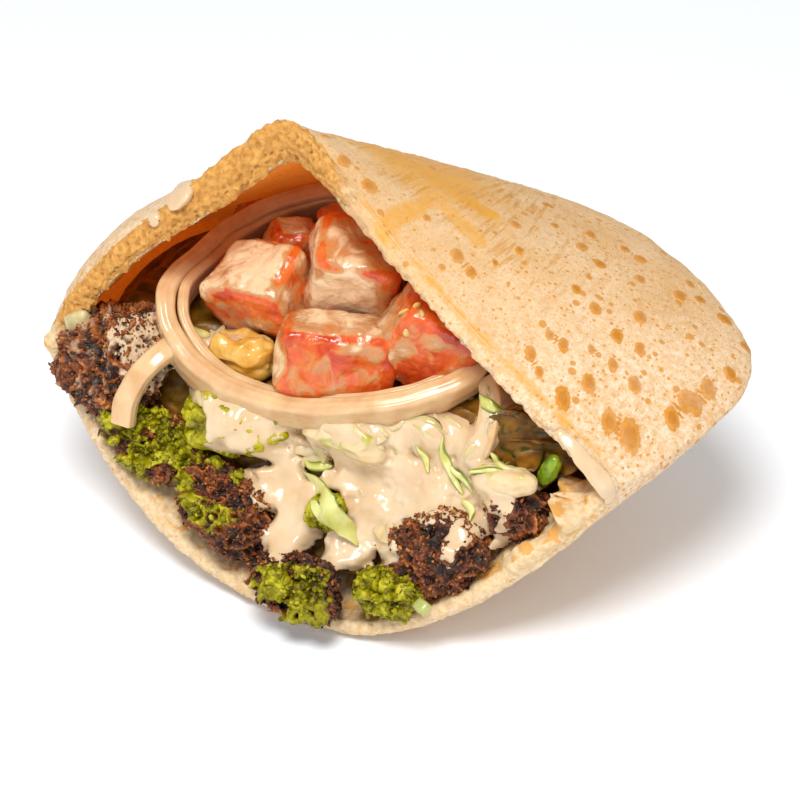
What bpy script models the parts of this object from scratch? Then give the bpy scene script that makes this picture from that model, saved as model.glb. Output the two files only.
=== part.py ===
"""Falafel pita: a half pita opened into a pocket, lying on its belly, with its filling heaped in the mouth.

Frame: X along the mouth from its left corner to its right one, Y from the mouth into the pocket, Z up.
The origin is the middle of the flat spot that the belly rests on. Sizes below are in millimetres, measured
from under the middle of the mouth, and are turned into metres as each mesh is made. The pita is built from
the driving sizes of its mouth and depth, and the filling from the place and the half sizes of each morsel.
Morsels that press on each other are carved in PRESS_ORDER: a later one gives way to every earlier one and
keeps GAP to it.
"""

import math

import bmesh
import bpy
import numpy as np
from mathutils import Euler

MM = 0.001
ORIGIN = (5.0, 20.0, 0.0)  # the middle of the flat spot

# ---- the pita: a pocket cut from a round of about 170 mm ------------------------------------------------
DEPTH = 80.0  # from the mouth's corners to the closed end
HALF_RIGHT, HALF_LEFT = 61.0, 63.5  # half widths of the mouth, which opening it has drawn in
BELLY_RIGHT, BELLY_LEFT = 0.305, 0.15  # how much wider the pocket is halfway down
CORNER_Z = 39.0  # height of the mouth's corners, where the two walls meet
BACK_RISE = 8.2  # the closed end lies this much higher than the corners
LEAN = 1.5  # the right corner is up and the left one down by this much
ROOF = 48.5  # the upper lip's peak over the corners
PEAK_AT, KEEL_AT = -0.27, 0.168  # where the peak and the lowest point stand across the mouth, -1 to 1
PEAK_BACK, LIP_FORWARD = 17.5, 17.2  # the peak is set back and the lower lip stands forward
BELLY_FULL = 6.0  # the lower wall sags this much behind the lip and is pressed flat where it rests
RIM = 4.5  # radius of the folded edge, where the walls meet
TAIL, TAIL_AT = 4.5, 0.6  # the right side has a blunt corner this large at this share of the depth
WALL = 4.6  # thickness of the bread behind the lip
LIP_THIN, LIP_THICK = 2.2, 7.2  # the cut lip is thin all round but thick on the upper left, where it is torn
THICK_AT, THICK_SPAN = 0.67, 0.32  # where the thick part is, in turns of pi from the right corner, and its reach
LIP_DEPTH = 0.14  # the lip's thickness has become the wall's at this share of the depth
CLOSED_END = 0.88  # the cavity ends at this share of the depth
SKIN_STEPS, DEPTH_STEPS = 48, 11

# ---- the salad that fills the pocket ---------------------------------------------------------------------
SALAD_INSET = 7.0  # in from the pita's outer skin
SALAD_MOUTH, SALAD_END = 0.07, 0.92  # where its front starts and its back ends, as shares of the cavity
SALAD_LEVEL, SALAD_RISE = 47.0, 7.0  # its top and how much it rises to the back; above it the pocket is hollow
FACE_OUT = (0.0, -0.866, 0.5)  # the heap's face looks forward and up
FACE_FULL = 6.0  # how far the face bulges out in its middle

GAP = 0.6  # between morsels that press on each other

# name: place of the middle, half sizes, turn in degrees, and a break as (direction, share of the radius)
FALAFEL = {
    "falafel_left": dict(at=(-48, 4, 35), half=(12.5, 12, 14.5), turn=(0, 10, 0), lumps=1),
    "falafel_split_left": dict(at=(-37, -6, 22.5), half=(14.5, 9, 7.5), turn=(0, 25, 0), lumps=2,
                               broken=((0.1, -0.8, 0.6), 0.6)),
    "falafel_split_middle": dict(at=(-18, -9, 17.5), half=(12.5, 10, 9), turn=(0, 25, 0), lumps=3,
                                 broken=((-0.6, -0.5, 0.6), 0.6)),
    "falafel_front": dict(at=(3, -20.5, 10.5), half=(12.5, 8.5, 8.5), turn=(0, 6, 0), lumps=4,
                          broken=((0.1, -0.9, 0.4), 0.6)),
    "falafel_crumb": dict(at=(22.5, -16.5, 12), half=(8, 6, 5.5), turn=(0, -10, 0), lumps=5),
    "falafel_right": dict(at=(29, -8.5, 20.5), half=(13, 8.5, 9.5), turn=(0, -32, 0), lumps=6),
    "falafel_far_right": dict(at=(42, -1.5, 30.5), half=(7, 6.5, 8), turn=(0, -40, 0), lumps=7),
    "falafel_coated": dict(at=(-19, -1, 33.5), half=(13, 9, 7.5), turn=(0, -8, 0), lumps=8),
    "falafel_bit": dict(at=(5, -9, 22.5), half=(4.5, 4, 4.8), turn=(0, 10, 0), lumps=9),
}
TOMATO = {
    "tomato_top": dict(at=(-4.5, 22.5, 58.5), half=(10, 8.5, 9), turn=(18, 12, 25)),
    "tomato_left": dict(at=(-22, 17, 52), half=(10.5, 8.5, 8.5), turn=(25, -14, -10)),
    "tomato_front": dict(at=(-1, 7.5, 48.5), half=(12, 7.5, 7.5), turn=(-8, 4, 24)),
    "tomato_right": dict(at=(15.5, 15.5, 53), half=(9.5, 8, 10), turn=(10, 30, 20)),
    "tomato_back": dict(at=(-37, 47, 49.5), half=(8, 6.5, 6.5), turn=(10, 20, 30)),
    "tomato_behind": dict(at=(-12, 36, 57.5), half=(7, 6, 5.5), turn=(0, -12, 10)),
    "tomato_shaded": dict(at=(-23, 30, 55), half=(5.5, 4.5, 4.5), turn=(0, 15, 40)),
}
# a hoop runs along at + wide*cos + deep*sin, from one angle to another, in degrees
ONION = {
    "onion_ring": dict(at=(-10.5, 23.4, 49.7), wide=(31.9, 13.1, -3.3), deep=(-10.1, 20.5, 10.2),
                       span=(0, 360), band=7.2, thick=4.0),
    "onion_arc": dict(at=(-29, -2, 30), wide=(-8.6, -4.2, 0), deep=(-4.3, 8.7, 13.9), span=(0, 84),
                      band=4.4, thick=3.2),
    "onion_strip": dict(at=(27, 3, 44), wide=(6.8, 3.4, 0), deep=(-2.4, 4.9, 7.8), span=(-80, 60),
                        band=5.0, thick=1.6),
}
GREENS = {
    "lettuce_shred": dict(at=(3, -16, 18), wide=(12.2, 6, 0), deep=(-3.1, 6.4, 10.2), span=(14, 92),
                          band=4.2, thick=1.5),
}
# lumps of the salad that are large enough to be pieces of their own
MORSEL = {
    "cabbage_rib": dict(at=(40, -2.5, 37.5), half=(6.4, 2.7, 2.7), turn=(0, -8, 8), square=2.4),
    "cabbage_florets": dict(at=(6, -2, 36.5), half=(8.5, 3.4, 4), turn=(0, 4, 0), square=2.0),
    "pepper_pod": dict(at=(48, 1.5, 39), half=(2.2, 2.2, 4.4), turn=(0, 25, 0), square=2.0),
    "pickle": dict(at=(-21, 6, 44), half=(7.5, 4.5, 4.2), turn=(0, 12, 0), square=2.6),
    "cucumber_left": dict(at=(-54.5, 7, 43), half=(3.6, 2.8, 2.8), turn=(0, -30, 0), square=3.0),
    "cucumber_right": dict(at=(38, 6, 40.5), half=(7.6, 1.8, 6.6), turn=(-24, 0, 12), square=4.0),
    "cucumber_middle": dict(at=(20.5, 1.5, 40.5), half=(7.5, 2.6, 5), turn=(-22, -20, 10), square=3.0),
}
SAUCE = dict(at=(13, -4, 26.5), half=(29, 4.5, 17), turn=(-30, 0, 4), square=2.3)

# the order in which the pieces press: a later one is carved to leave room for every earlier one
PRESS_ORDER = ["pita", *ONION, *TOMATO, *GREENS, *MORSEL, *FALAFEL, "tahini", "salad"]

# colour (sRGB), roughness
LOOKS = {
    "pita": ((0.90, 0.76, 0.56), 0.85),
    "salad": ((0.78, 0.76, 0.50), 0.45),
    "tahini": ((0.91, 0.79, 0.65), 0.25),
    "tomato": ((0.85, 0.36, 0.24), 0.30),
    "onion": ((0.94, 0.86, 0.72), 0.30),
    "falafel": ((0.33, 0.19, 0.11), 0.90),
    "falafel_inside": ((0.45, 0.52, 0.13), 0.85),
    "greens": ((0.72, 0.78, 0.38), 0.40),
    "cucumber": ((0.55, 0.62, 0.36), 0.30),
    "pickle": ((0.90, 0.68, 0.30), 0.35),
}


def clear_scene():
    for obj in list(bpy.data.objects):
        bpy.data.objects.remove(obj, do_unlink=True)


def food_material(name):
    if name in bpy.data.materials:
        return bpy.data.materials[name]
    colour, roughness = LOOKS[name]
    linear = [c / 12.92 if c <= 0.04045 else ((c + 0.055) / 1.055) ** 2.4 for c in colour]
    material = bpy.data.materials.new(name)
    material.use_nodes = True
    shader = material.node_tree.nodes["Principled BSDF"]
    shader.inputs["Base Color"].default_value = (*linear, 1)
    shader.inputs["Roughness"].default_value = roughness
    shader.inputs["Metallic"].default_value = 0
    return material


def grid_faces(rows, columns, close_rows=False, close_columns=True):
    """Quads of a grid whose point (i, j) has the number i * columns + j."""
    i = np.arange(rows if close_rows else rows - 1)[:, None]
    j = np.arange(columns if close_columns else columns - 1)[None, :]
    i2, j2 = (i + 1) % rows, (j + 1) % columns
    quads = [i * columns + j, i * columns + j2, i2 * columns + j2, i2 * columns + j]
    return np.stack([np.broadcast_to(q, np.broadcast_shapes(i.shape, j.shape)) for q in quads], -1).reshape(-1, 4)


def solid_object(name, look, points, faces):
    """An object from points in millimetres; double points at poles are merged and its faces turned outwards."""
    mesh = bpy.data.meshes.new(name)
    mesh.from_pydata(((np.asarray(points) - ORIGIN) * MM).tolist(), [], np.asarray(faces).tolist())
    shape = bmesh.new()
    shape.from_mesh(mesh)
    bmesh.ops.remove_doubles(shape, verts=shape.verts, dist=0.01 * MM)
    bmesh.ops.dissolve_degenerate(shape, dist=0.01 * MM, edges=shape.edges)
    bmesh.ops.triangulate(shape, faces=shape.faces)
    bmesh.ops.recalc_face_normals(shape, faces=shape.faces)
    shape.to_mesh(mesh)
    shape.free()
    mesh.shade_smooth()
    mesh.set_sharp_from_angle(angle=math.radians(50))
    obj = bpy.data.objects.new(name, mesh)
    obj.data.materials.append(food_material(look))
    bpy.context.scene.collection.objects.link(obj)
    return obj


def tent(side, peak, rounding, bulge):
    """1 at the peak and 0 at both corners: straight slopes with a rounded top, swollen by bulge."""
    away = np.where(side > peak, (side - peak) / (1 - peak), (peak - side) / (1 + peak))
    away = (np.hypot(away, rounding) - rounding) / (np.hypot(1, rounding) - rounding)
    return (1 - away) * (1 + bulge * away), away


def wall(angle, depth):
    """Thickness of the bread: the lip's at the mouth and WALL from LIP_DEPTH on."""
    off = np.clip(np.abs(angle / np.pi - THICK_AT) / THICK_SPAN, 0, 1)
    lip = LIP_THIN + (LIP_THICK - LIP_THIN) * np.cos(off * np.pi / 2) ** 2
    share = np.clip(depth / LIP_DEPTH, 0, 1)
    return lip + (WALL - lip) * share * share * (3 - 2 * share)


def pocket(angle, depth, inset=0.0):
    """Points of the pocket's skin. Angle runs from the right corner over the upper wall (0 to pi) to the left
    corner and back along the lower wall; depth runs from the mouth, 0, to the closed end, 1. An inset skin is
    the cavity's: it is drawn in from the outer one and closes at CLOSED_END of the depth."""
    angle, depth = np.broadcast_arrays(np.asarray(angle, float), np.asarray(depth, float))
    inner = np.max(inset) > 0
    closing = np.sqrt(np.clip(1 - depth**5, 0, 1)) if inner else 1.0
    t = depth * CLOSED_END if inner else depth
    side, upper = np.cos(angle), np.sin(angle) >= 0
    widening = 1 - (1 - np.clip(2 * t, 0, 1)) ** 1.5
    half = np.where(side > 0, HALF_RIGHT * (1 + BELLY_RIGHT * widening), HALF_LEFT * (1 + BELLY_LEFT * widening))
    half = (half * np.sqrt(np.clip(1 - t**2, 0, 1)) ** 0.92 - 1.2 * inset) * closing
    peak = np.where(upper, PEAK_AT, KEEL_AT) * np.clip(1 - t, 0, 1) ** 0.7
    right = side > peak
    lip_bulge = np.where(upper, np.where(right, -0.10, 0.02), np.where(right, 0.38, 0.80))
    deep_bulge = np.where(upper, 0.39, np.where(right, -0.8, -0.3))
    share = np.where(upper, t**0.7, np.clip(t / 0.45, 0, 1) ** 0.8)
    rise, away = tent(side, peak, np.where(upper, 0.07 + 0.3 * t, 0.3), lip_bulge + (deep_bulge - lip_bulge) * share)
    back_rise = BACK_RISE * (1 - (1 - t) ** 2)
    rim = np.maximum(RIM - inset, 0.0)
    roof = ROOF * (1 - t**1.02) + RIM - rim - 1.35 * inset
    belly = CORNER_Z + back_rise - RIM - 1 + BELLY_FULL * np.clip(t / 0.2, 0, 1)
    keel = belly * (1 - t**6) + RIM - rim - 1.05 * inset
    edge = rim * np.sqrt(np.clip(1 - away**8, 0, 1)) * np.sqrt(1 - t**6)
    height = np.where(upper, np.maximum(roof, 0) * rise + edge, -np.maximum(keel, 0) * rise - edge) * closing
    set_off = np.where(upper, PEAK_BACK * rise**1.8, -LIP_FORWARD * rise)
    x = half * side + TAIL * np.clip(side, 0, 1) ** 7 * np.exp(-(((t - TAIL_AT) / 0.22) ** 2))
    y = DEPTH * t + set_off * (1 - t) ** 2
    z = height + CORNER_Z + back_rise + LEAN * side
    return np.stack([x, y, np.maximum(z, inset)], -1)


def bread(swell=0.0):
    """The pita's outer skin and cavity as rings of points, joined at the cut edge of the lip, and swollen."""
    angle = np.arange(SKIN_STEPS) * 2 * np.pi / SKIN_STEPS
    depth = np.sin(np.linspace(0, np.pi / 2, DEPTH_STEPS))
    outer = pocket(angle[None, :], depth[:, None], -swell)
    cavity = pocket(angle[None, :], depth[:, None], wall(angle[None, :], depth[:, None]) + swell)
    outer[0, :, 1] -= swell
    cavity[0, :, 1] = outer[0, :, 1]
    outer[-1], cavity[-1] = outer[-1].mean(axis=0), cavity[-1].mean(axis=0)
    return np.concatenate([outer[::-1], cavity]).reshape(-1, 3)


def make_pita():
    return solid_object("pita", "pita", bread(), grid_faces(2 * DEPTH_STEPS, SKIN_STEPS))


def make_salad():
    """The chopped salad behind the face: the cavity's shape up to SALAD_LEVEL, with a heaped, uneven front."""
    steps, rings = 24, 4
    angle = np.arange(steps) * 2 * np.pi / steps
    depth = SALAD_MOUTH + (SALAD_END - SALAD_MOUTH) * np.sin(np.linspace(0, np.pi / 2, 8))
    body = pocket(angle[None, :], depth[:, None], SALAD_INSET)
    level = SALAD_LEVEL + SALAD_RISE * depth[:, None]
    level = level + 1.5 * np.sin(0.13 * body[..., 0]) * np.cos(0.11 * body[..., 1])
    body[..., 2] = np.minimum(body[..., 2], level)
    body = np.concatenate([body, np.broadcast_to(body[-1:].mean(axis=1, keepdims=True), body[:1].shape)])
    front = body[0]
    middle = front.mean(axis=0)
    share = np.linspace(1, 0, rings + 1)[1:, None, None]
    face = middle + (front - middle) * share
    swell = FACE_FULL * (1 - share**2)
    swell = swell + 1.2 * np.sin(0.31 * face[..., :1]) * np.sin(0.27 * face[..., 2:]) * (1 - share)
    face = face + swell * np.array(FACE_OUT)
    heap = np.concatenate([face[::-1], body])
    return solid_object("salad", "salad", heap.reshape(-1, 3), grid_faces(len(heap), steps))


def directions(rows, columns):
    """Unit vectors on a grid from one pole to the other."""
    polar = np.linspace(0, np.pi, rows)[:, None]
    around = np.arange(columns)[None, :] * 2 * np.pi / columns
    return np.stack([np.sin(polar) * np.cos(around), np.sin(polar) * np.sin(around),
                     np.cos(polar) * np.ones_like(around)], -1)


def lumps(unit, seed, size):
    """Soft unevenness of about size, the same for the same seed: a sum of slanted waves over the ball."""
    dice = np.random.default_rng(seed)
    total = np.zeros(unit.shape[:-1])
    for wave in dice.normal(0, 2.6, (7, 3)):
        total += np.sin(unit @ wave + dice.uniform(0, 6.28))
    return 1 + size * total / 7**0.5


def place(unit_points, at, half, turn):
    """Points of a unit shape given its half sizes, turned and moved to its place."""
    spin = np.array(Euler([math.radians(a) for a in turn]).to_matrix())
    return (unit_points * np.array(half)) @ spin.T + np.array(at)


def make_falafel(name, at, half, turn, lumps_seed, broken=None):
    """A fried ball, out of round; a broken one ends at a rough plane that shows its inside."""
    rows, columns = (8, 12) if min(half) > 7 else (7, 10)
    unit = directions(rows, columns)
    reach = lumps(unit, lumps_seed, 0.06)
    if broken:
        facing, share = np.array(broken[0]) / np.linalg.norm(broken[0]), broken[1]
        toward = unit @ facing
        flat = share * lumps(unit, lumps_seed + 50, 0.08) / np.maximum(toward, 1e-3)
        reach = np.where(toward > 0.05, np.minimum(reach, flat), reach)
    points = place(unit * reach[..., None], at, half, turn)
    look = "falafel_inside" if broken or name in ("falafel_crumb", "falafel_bit") else "falafel"
    return solid_object(name, look, points.reshape(-1, 3), grid_faces(rows, columns))


def make_chunk(name, look, at, half, turn, square=2.0, rows=7, columns=10, uneven=0.03):
    """A cut or grown morsel: a ball squared off by its exponent, 2 for round and 5 or more for a cut block."""
    unit = directions(rows, columns)
    reach = (np.abs(unit) ** square).sum(axis=-1) ** (-1 / square)
    reach = reach * lumps(unit, sum(map(ord, name)), uneven)
    points = place(unit * reach[..., None], at, half, turn)
    return solid_object(name, look, points.reshape(-1, 3), grid_faces(rows, columns))


def make_hoop(name, look, at, wide, deep, span, band, thick):
    """A band cut from a ring: its middle runs along at + wide*cos + deep*sin, and closes if it goes all round.
    Its profile is an ellipse-like oblong, band high along the hoop's axis and thick across it."""
    at, wide, deep = map(np.array, (at, wide, deep))
    whole = span[1] - span[0] >= 360
    steps, sides = (32, 6) if whole else (8, 6)
    angle = np.radians(np.linspace(*span, steps + 1)[:steps] if whole else np.linspace(*span, steps))[:, None]
    middle = at + wide * np.cos(angle) + deep * np.sin(angle)
    along = -wide * np.sin(angle) + deep * np.cos(angle)
    axis = np.cross(wide, deep)
    axis = axis / np.linalg.norm(axis)
    out = np.cross(along, axis)
    out = out / np.linalg.norm(out, axis=1, keepdims=True)
    around = np.arange(sides) * 2 * np.pi / sides
    corner = (np.abs(np.cos(around)) ** 3 + np.abs(np.sin(around)) ** 3) ** (-1 / 3)
    taper = np.ones_like(angle) if whole else np.sin(np.linspace(0.02, np.pi - 0.02, steps))[:, None] ** 0.35
    ripple = 1 + 0.06 * np.sin(3 * angle + len(name))
    across = (corner * np.cos(around) * thick / 2)[None, :] * taper * ripple
    height = (corner * np.sin(around) * band / 2)[None, :] * taper * ripple
    points = middle[:, None, :] + across[..., None] * out[:, None, :] + height[..., None] * axis
    if not whole:
        points = np.concatenate([points[:1].mean(axis=1, keepdims=True) + 0 * points[:1], points,
                                 points[-1:].mean(axis=1, keepdims=True) + 0 * points[-1:]])
    faces = grid_faces(len(points), sides, close_rows=whole)
    return solid_object(name, look, points.reshape(-1, 3), faces)


def bounds(obj):
    points = np.array([v.co for v in obj.data.vertices])
    return points.min(axis=0), points.max(axis=0)


def touching(one, other):
    (low_a, high_a), (low_b, high_b) = bounds(one), bounds(other)
    room = 2 * GAP * MM
    return bool(np.all(low_a < high_b + room) and np.all(low_b < high_a + room))


def swollen(obj):
    """A hidden copy that is larger by GAP all over, made before obj is carved, to carve its neighbours with."""
    if obj.name == "pita":
        press = solid_object("pita_press", "pita", bread(GAP), grid_faces(2 * DEPTH_STEPS, SKIN_STEPS))
    else:
        mesh = obj.data.copy()
        for vertex, normal in zip(mesh.vertices, [v.normal.copy() for v in obj.data.vertices]):
            vertex.co += normal * GAP * MM
        press = bpy.data.objects.new(obj.name + "_press", mesh)
        bpy.context.scene.collection.objects.link(press)
    press.hide_render = True
    press.display_type = "WIRE"
    return press


def keep_largest_body(obj):
    """Applies the carving and drops the scraps that it may have cut off."""
    bpy.context.view_layer.update()
    evaluated = obj.evaluated_get(bpy.context.evaluated_depsgraph_get())
    shape = bmesh.new()
    shape.from_mesh(evaluated.to_mesh())
    evaluated.to_mesh_clear()
    obj.modifiers.clear()
    bmesh.ops.dissolve_limit(shape, angle_limit=math.radians(7), verts=shape.verts, edges=shape.edges)
    bmesh.ops.triangulate(shape, faces=shape.faces)
    bodies, waiting = [], set(shape.verts)
    while waiting:
        body, edge = set(), [waiting.pop()]
        while edge:
            vertex = edge.pop()
            body.add(vertex)
            near = {e.other_vert(vertex) for e in vertex.link_edges} & waiting
            waiting -= near
            edge.extend(near)
        bodies.append(body)
    largest = max(bodies, key=len)
    bmesh.ops.delete(shape, geom=[v for v in shape.verts if v not in largest], context="VERTS")
    shape.to_mesh(obj.data)
    shape.free()


def carve(obj, presses):
    """Cuts obj back from every press that it reaches into."""
    pressed = [press for press in presses if touching(obj, press)]
    for press in pressed:
        cut = obj.modifiers.new("clear of " + press.name, "BOOLEAN")
        cut.operation = "DIFFERENCE"
        cut.solver = "EXACT"
        cut.object = press
    if pressed:
        keep_largest_body(obj)


def main():
    clear_scene()
    pieces = {"pita": make_pita()}
    for name, size in TOMATO.items():
        pieces[name] = make_chunk(name, "tomato", **size, square=5.5, rows=8, columns=14, uneven=0.05)
    for name, size in ONION.items():
        pieces[name] = make_hoop(name, "onion", **size)
    for name, size in GREENS.items():
        pieces[name] = make_hoop(name, "greens", **size)
    for name, size in MORSEL.items():
        look = name.split("_")[0]
        pieces[name] = make_chunk(name, look if look in LOOKS else "greens", **size)
    for name, size in FALAFEL.items():
        size = dict(size)
        pieces[name] = make_falafel(name, lumps_seed=size.pop("lumps"), **size)
    pieces["tahini"] = make_chunk("tahini", "tahini", **SAUCE, rows=8, columns=14, uneven=0.10)
    pieces["salad"] = make_salad()
    presses = []
    for name in PRESS_ORDER:
        press = swollen(pieces[name])
        carve(pieces[name], presses if name != "salad" else presses[1:])
        presses.append(press)


main()
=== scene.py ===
import math
from functools import partial

import bpy
import numpy as np
from mathutils import Euler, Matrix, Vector


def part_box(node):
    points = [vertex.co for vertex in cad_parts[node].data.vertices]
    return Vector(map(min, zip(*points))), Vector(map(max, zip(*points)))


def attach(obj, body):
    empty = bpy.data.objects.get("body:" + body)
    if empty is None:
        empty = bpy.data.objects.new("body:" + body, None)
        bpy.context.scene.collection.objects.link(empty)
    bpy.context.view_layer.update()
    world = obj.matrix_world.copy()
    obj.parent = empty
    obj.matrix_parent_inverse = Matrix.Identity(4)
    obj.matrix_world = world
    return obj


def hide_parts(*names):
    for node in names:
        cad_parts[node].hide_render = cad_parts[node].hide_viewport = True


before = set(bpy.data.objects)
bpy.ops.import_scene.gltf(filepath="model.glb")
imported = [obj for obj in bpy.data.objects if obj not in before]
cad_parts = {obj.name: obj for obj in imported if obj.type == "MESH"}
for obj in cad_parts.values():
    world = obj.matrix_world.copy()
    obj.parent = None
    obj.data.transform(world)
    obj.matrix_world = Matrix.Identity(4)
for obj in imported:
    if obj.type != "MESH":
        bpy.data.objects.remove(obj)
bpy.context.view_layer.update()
print("frame loaded:", len(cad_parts), "solids")

# Lengths below are in millimetres in the frame: x runs along the mouth, y into the pocket, z up.
mm = 0.001
up = np.array([0.0, 0.5, 0.866])  # up the filling's face
out = np.array([0.0, -0.866, 0.5])  # straight out of it


def hashed(cell, seed):
    # 0 to 1 for each whole-number cell: its three coordinates mixed by large odd factors
    mixed = cell[..., 0] * 374761393 + cell[..., 1] * 668265263 + cell[..., 2] * 1440662683
    mixed = mixed + seed * 1274126177
    mixed = (mixed ^ (mixed >> 13)) * 1103515245
    mixed = (mixed ^ (mixed >> 16)) & 0xFFFFF
    return mixed / 0xFFFFF


def noise(points, size, seed=0):
    # -1 to 1: random values on a lattice of this size, blended smoothly between the eight corners
    place = np.asarray(points) / size
    cell = np.floor(place).astype(np.int64)
    part = place - cell
    part = part * part * (3 - 2 * part)
    total = 0
    for corner in np.ndindex(2, 2, 2):
        weight = np.prod(np.where(corner, part, 1 - part), axis=-1)
        total = total + weight * hashed(cell + np.array(corner), seed)
    return 2 * total - 1


def layered(points, size, seed=0, layers=4):
    # -1 to 1: noise added to itself, each layer half the size and 0.55 of the strength
    strength = 0.55 ** np.arange(layers)
    total = sum(s * noise(points, size / 2**k, seed + 7 * k) for k, s in enumerate(strength))
    return total / strength.sum() * 1.6


def creased(points, size, seed=0, layers=4):
    # 0 along sharp creases to about 1 on the rounded lumps between them: the size of layered noise's swing
    strength = 0.6 ** np.arange(layers)
    total = sum(s * np.abs(noise(points, size / 1.9**k, seed + 7 * k)) for k, s in enumerate(strength))
    return np.clip(total / strength.sum() * 2.4, 0, 1)


def grains(points, size, seed=0):
    # one scattered seed in each cell of this size: how far the nearest one and the next one are, in cells, and
    # the nearest one's own number from 0 to 1
    place = np.asarray(points) / size
    base = np.floor(place).astype(np.int64)
    near = np.full(place.shape[:-1], 9.0)
    following, own = near.copy(), near.copy()
    for corner in np.ndindex(3, 3, 3):
        cell = base + np.array(corner) - 1
        at = cell + np.stack([hashed(cell, seed + k) for k in (1, 2, 3)], -1)
        distance = np.sqrt(((place - at) ** 2).sum(-1))
        closer = distance < near
        following = np.where(closer, near, np.minimum(following, distance))
        own = np.where(closer, hashed(cell, seed + 4), own)
        near = np.where(closer, distance, near)
    return near, following, own


def smooth(value, low, high):
    # 0 at low and 1 at high, with level ends
    share = np.clip((value - low) / (high - low), 0, 1)
    return share * share * (3 - 2 * share)


def bell(value, middle, width):
    # 1 at the middle, falling off to both sides
    return np.exp(-(((value - middle) / width) ** 2))


def unit(vectors):
    # the same directions with length 1
    return vectors / np.maximum(np.linalg.norm(vectors, axis=-1, keepdims=True), 1e-9)


def gridQuads(rows, columns, wrapRows=False, wrapColumns=True):
    # point (i, j) of the grid has the number i * columns + j
    i = np.arange(rows if wrapRows else rows - 1)[:, None]
    j = np.arange(columns if wrapColumns else columns - 1)[None, :]
    i2, j2 = (i + 1) % rows, (j + 1) % columns
    corners = [i * columns + j, i * columns + j2, i2 * columns + j2, i2 * columns + j]
    return np.stack(np.broadcast_arrays(*corners), -1).reshape(-1, 4)


def capped(grid):
    # a grid whose first and last rows are poles: each pole becomes one point with a fan of triangles
    rows, columns = grid.shape[:2]
    inner = grid[1:-1].reshape(-1, grid.shape[2])
    points = np.concatenate([grid[0].mean(0)[None], inner, grid[-1].mean(0)[None]])
    j = np.arange(columns)
    j2 = (j + 1) % columns
    last = 1 + (rows - 3) * columns
    top = np.stack([np.zeros_like(j), 1 + j2, 1 + j], -1)
    bottom = np.stack([np.full_like(j, len(points) - 1), last + j, last + j2], -1)
    return points, [gridQuads(rows - 2, columns) + 1, np.concatenate([top, bottom])]


def cappedMarks(grid, **marks):
    # the capped grid, with the marks' values carried to its points
    points, faceSets = capped(np.concatenate([grid, np.stack(list(marks.values()), -1)], -1))
    return points[:, :3], faceSets, dict(zip(marks, points[:, 3:].T))


def repeated(points, faceSets):
    # many copies of one mesh as one: the points of each copy, and the faces of the first
    shift = (np.arange(len(points)) * points.shape[1])[:, None, None]
    return points.reshape(-1, 3), [(faces[None] + shift).reshape(-1, faces.shape[1]) for faces in faceSets]


def merged(parts):
    # several meshes of quads and triangles as one
    starts = np.cumsum([0] + [len(points) for points, _ in parts])
    shifted = [[faces + start for faces in faceSets] for start, (_, faceSets) in zip(starts, parts)]
    return np.concatenate([points for points, _ in parts]), [np.concatenate(kind) for kind in zip(*shifted)]


def gridNormals(grid):
    # across both directions of the grid, turned away from its middle; columns wrap
    down = np.gradient(grid, axis=0)
    across = np.roll(grid, -1, axis=1) - np.roll(grid, 1, axis=1)
    normal = unit(np.cross(across, down))
    normal[0], normal[-1] = normal[1].mean(0), normal[-2].mean(0)
    normal = unit(normal)
    away = grid - grid.mean((0, 1))
    return normal if (normal * away).sum() > 0 else -normal


def makePiece(name, points, faceSets, material, slot, marks, replaces=()):
    # mesh of quads and triangles in millimetres; it is turned right side out if its volume comes out negative
    volume = 0
    for faces in faceSets:
        a = points[faces[:, 0]]
        for k in range(1, faces.shape[1] - 1):
            volume += (a * np.cross(points[faces[:, k]], points[faces[:, k + 1]])).sum()
    if volume < 0:
        faceSets = [faces[:, ::-1] for faces in faceSets]
    corners = np.concatenate([faces.ravel() for faces in faceSets]).astype(np.int32)
    sizes = np.concatenate([np.full(len(faces), faces.shape[1]) for faces in faceSets])
    mesh = bpy.data.meshes.new(name)
    mesh.vertices.add(len(points))
    mesh.vertices.foreach_set("co", (points * mm).astype(np.float32).ravel())
    mesh.loops.add(len(corners))
    mesh.loops.foreach_set("vertex_index", corners)
    mesh.polygons.add(len(sizes))
    mesh.polygons.foreach_set("loop_start", (np.cumsum(sizes) - sizes).astype(np.int32))
    mesh.update(calc_edges=True)
    for mark, values in marks.items():
        attribute = mesh.attributes.new(mark, "FLOAT", "POINT")
        attribute.data.foreach_set("value", np.broadcast_to(values, len(points)).astype(np.float32))
    mesh.shade_smooth()
    piece = bpy.data.objects.new(name, mesh)
    bpy.context.scene.collection.objects.link(piece)
    mesh.materials.append(material)
    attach(piece, "root")
    if replaces:
        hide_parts(*replaces)
    print(f"{name}: {int((sizes - 2).sum())} triangles")


def fitted(grid, node, spare=0.0):
    # moved and stretched so that it fills the solid's box, and spare more on each side
    low, high = (np.array(corner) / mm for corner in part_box(node))
    ownLow, ownHigh = grid.reshape(-1, 3).min(0), grid.reshape(-1, 3).max(0)
    return low - spare + (grid - ownLow) * (high - low + 2 * spare) / (ownHigh - ownLow)


def directions(rows, columns):
    # unit vectors from pole to pole
    polar = np.linspace(0, np.pi, rows)[:, None]
    around = np.arange(columns)[None, :] * 2 * np.pi / columns
    return np.stack([np.sin(polar) * np.cos(around), np.sin(polar) * np.sin(around),
                     np.cos(polar) * np.ones_like(around)], -1)


def lumps(unitPoints, seed, size):
    # soft unevenness, the same as the solids have: a sum of slanted waves over the ball
    dice = np.random.default_rng(seed)
    total = np.zeros(unitPoints.shape[:-1])
    for wave in dice.normal(0, 2.6, (7, 3)):
        total += np.sin(unitPoints @ wave + dice.uniform(0, 6.28))
    return 1 + size * total / 7**0.5


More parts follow.
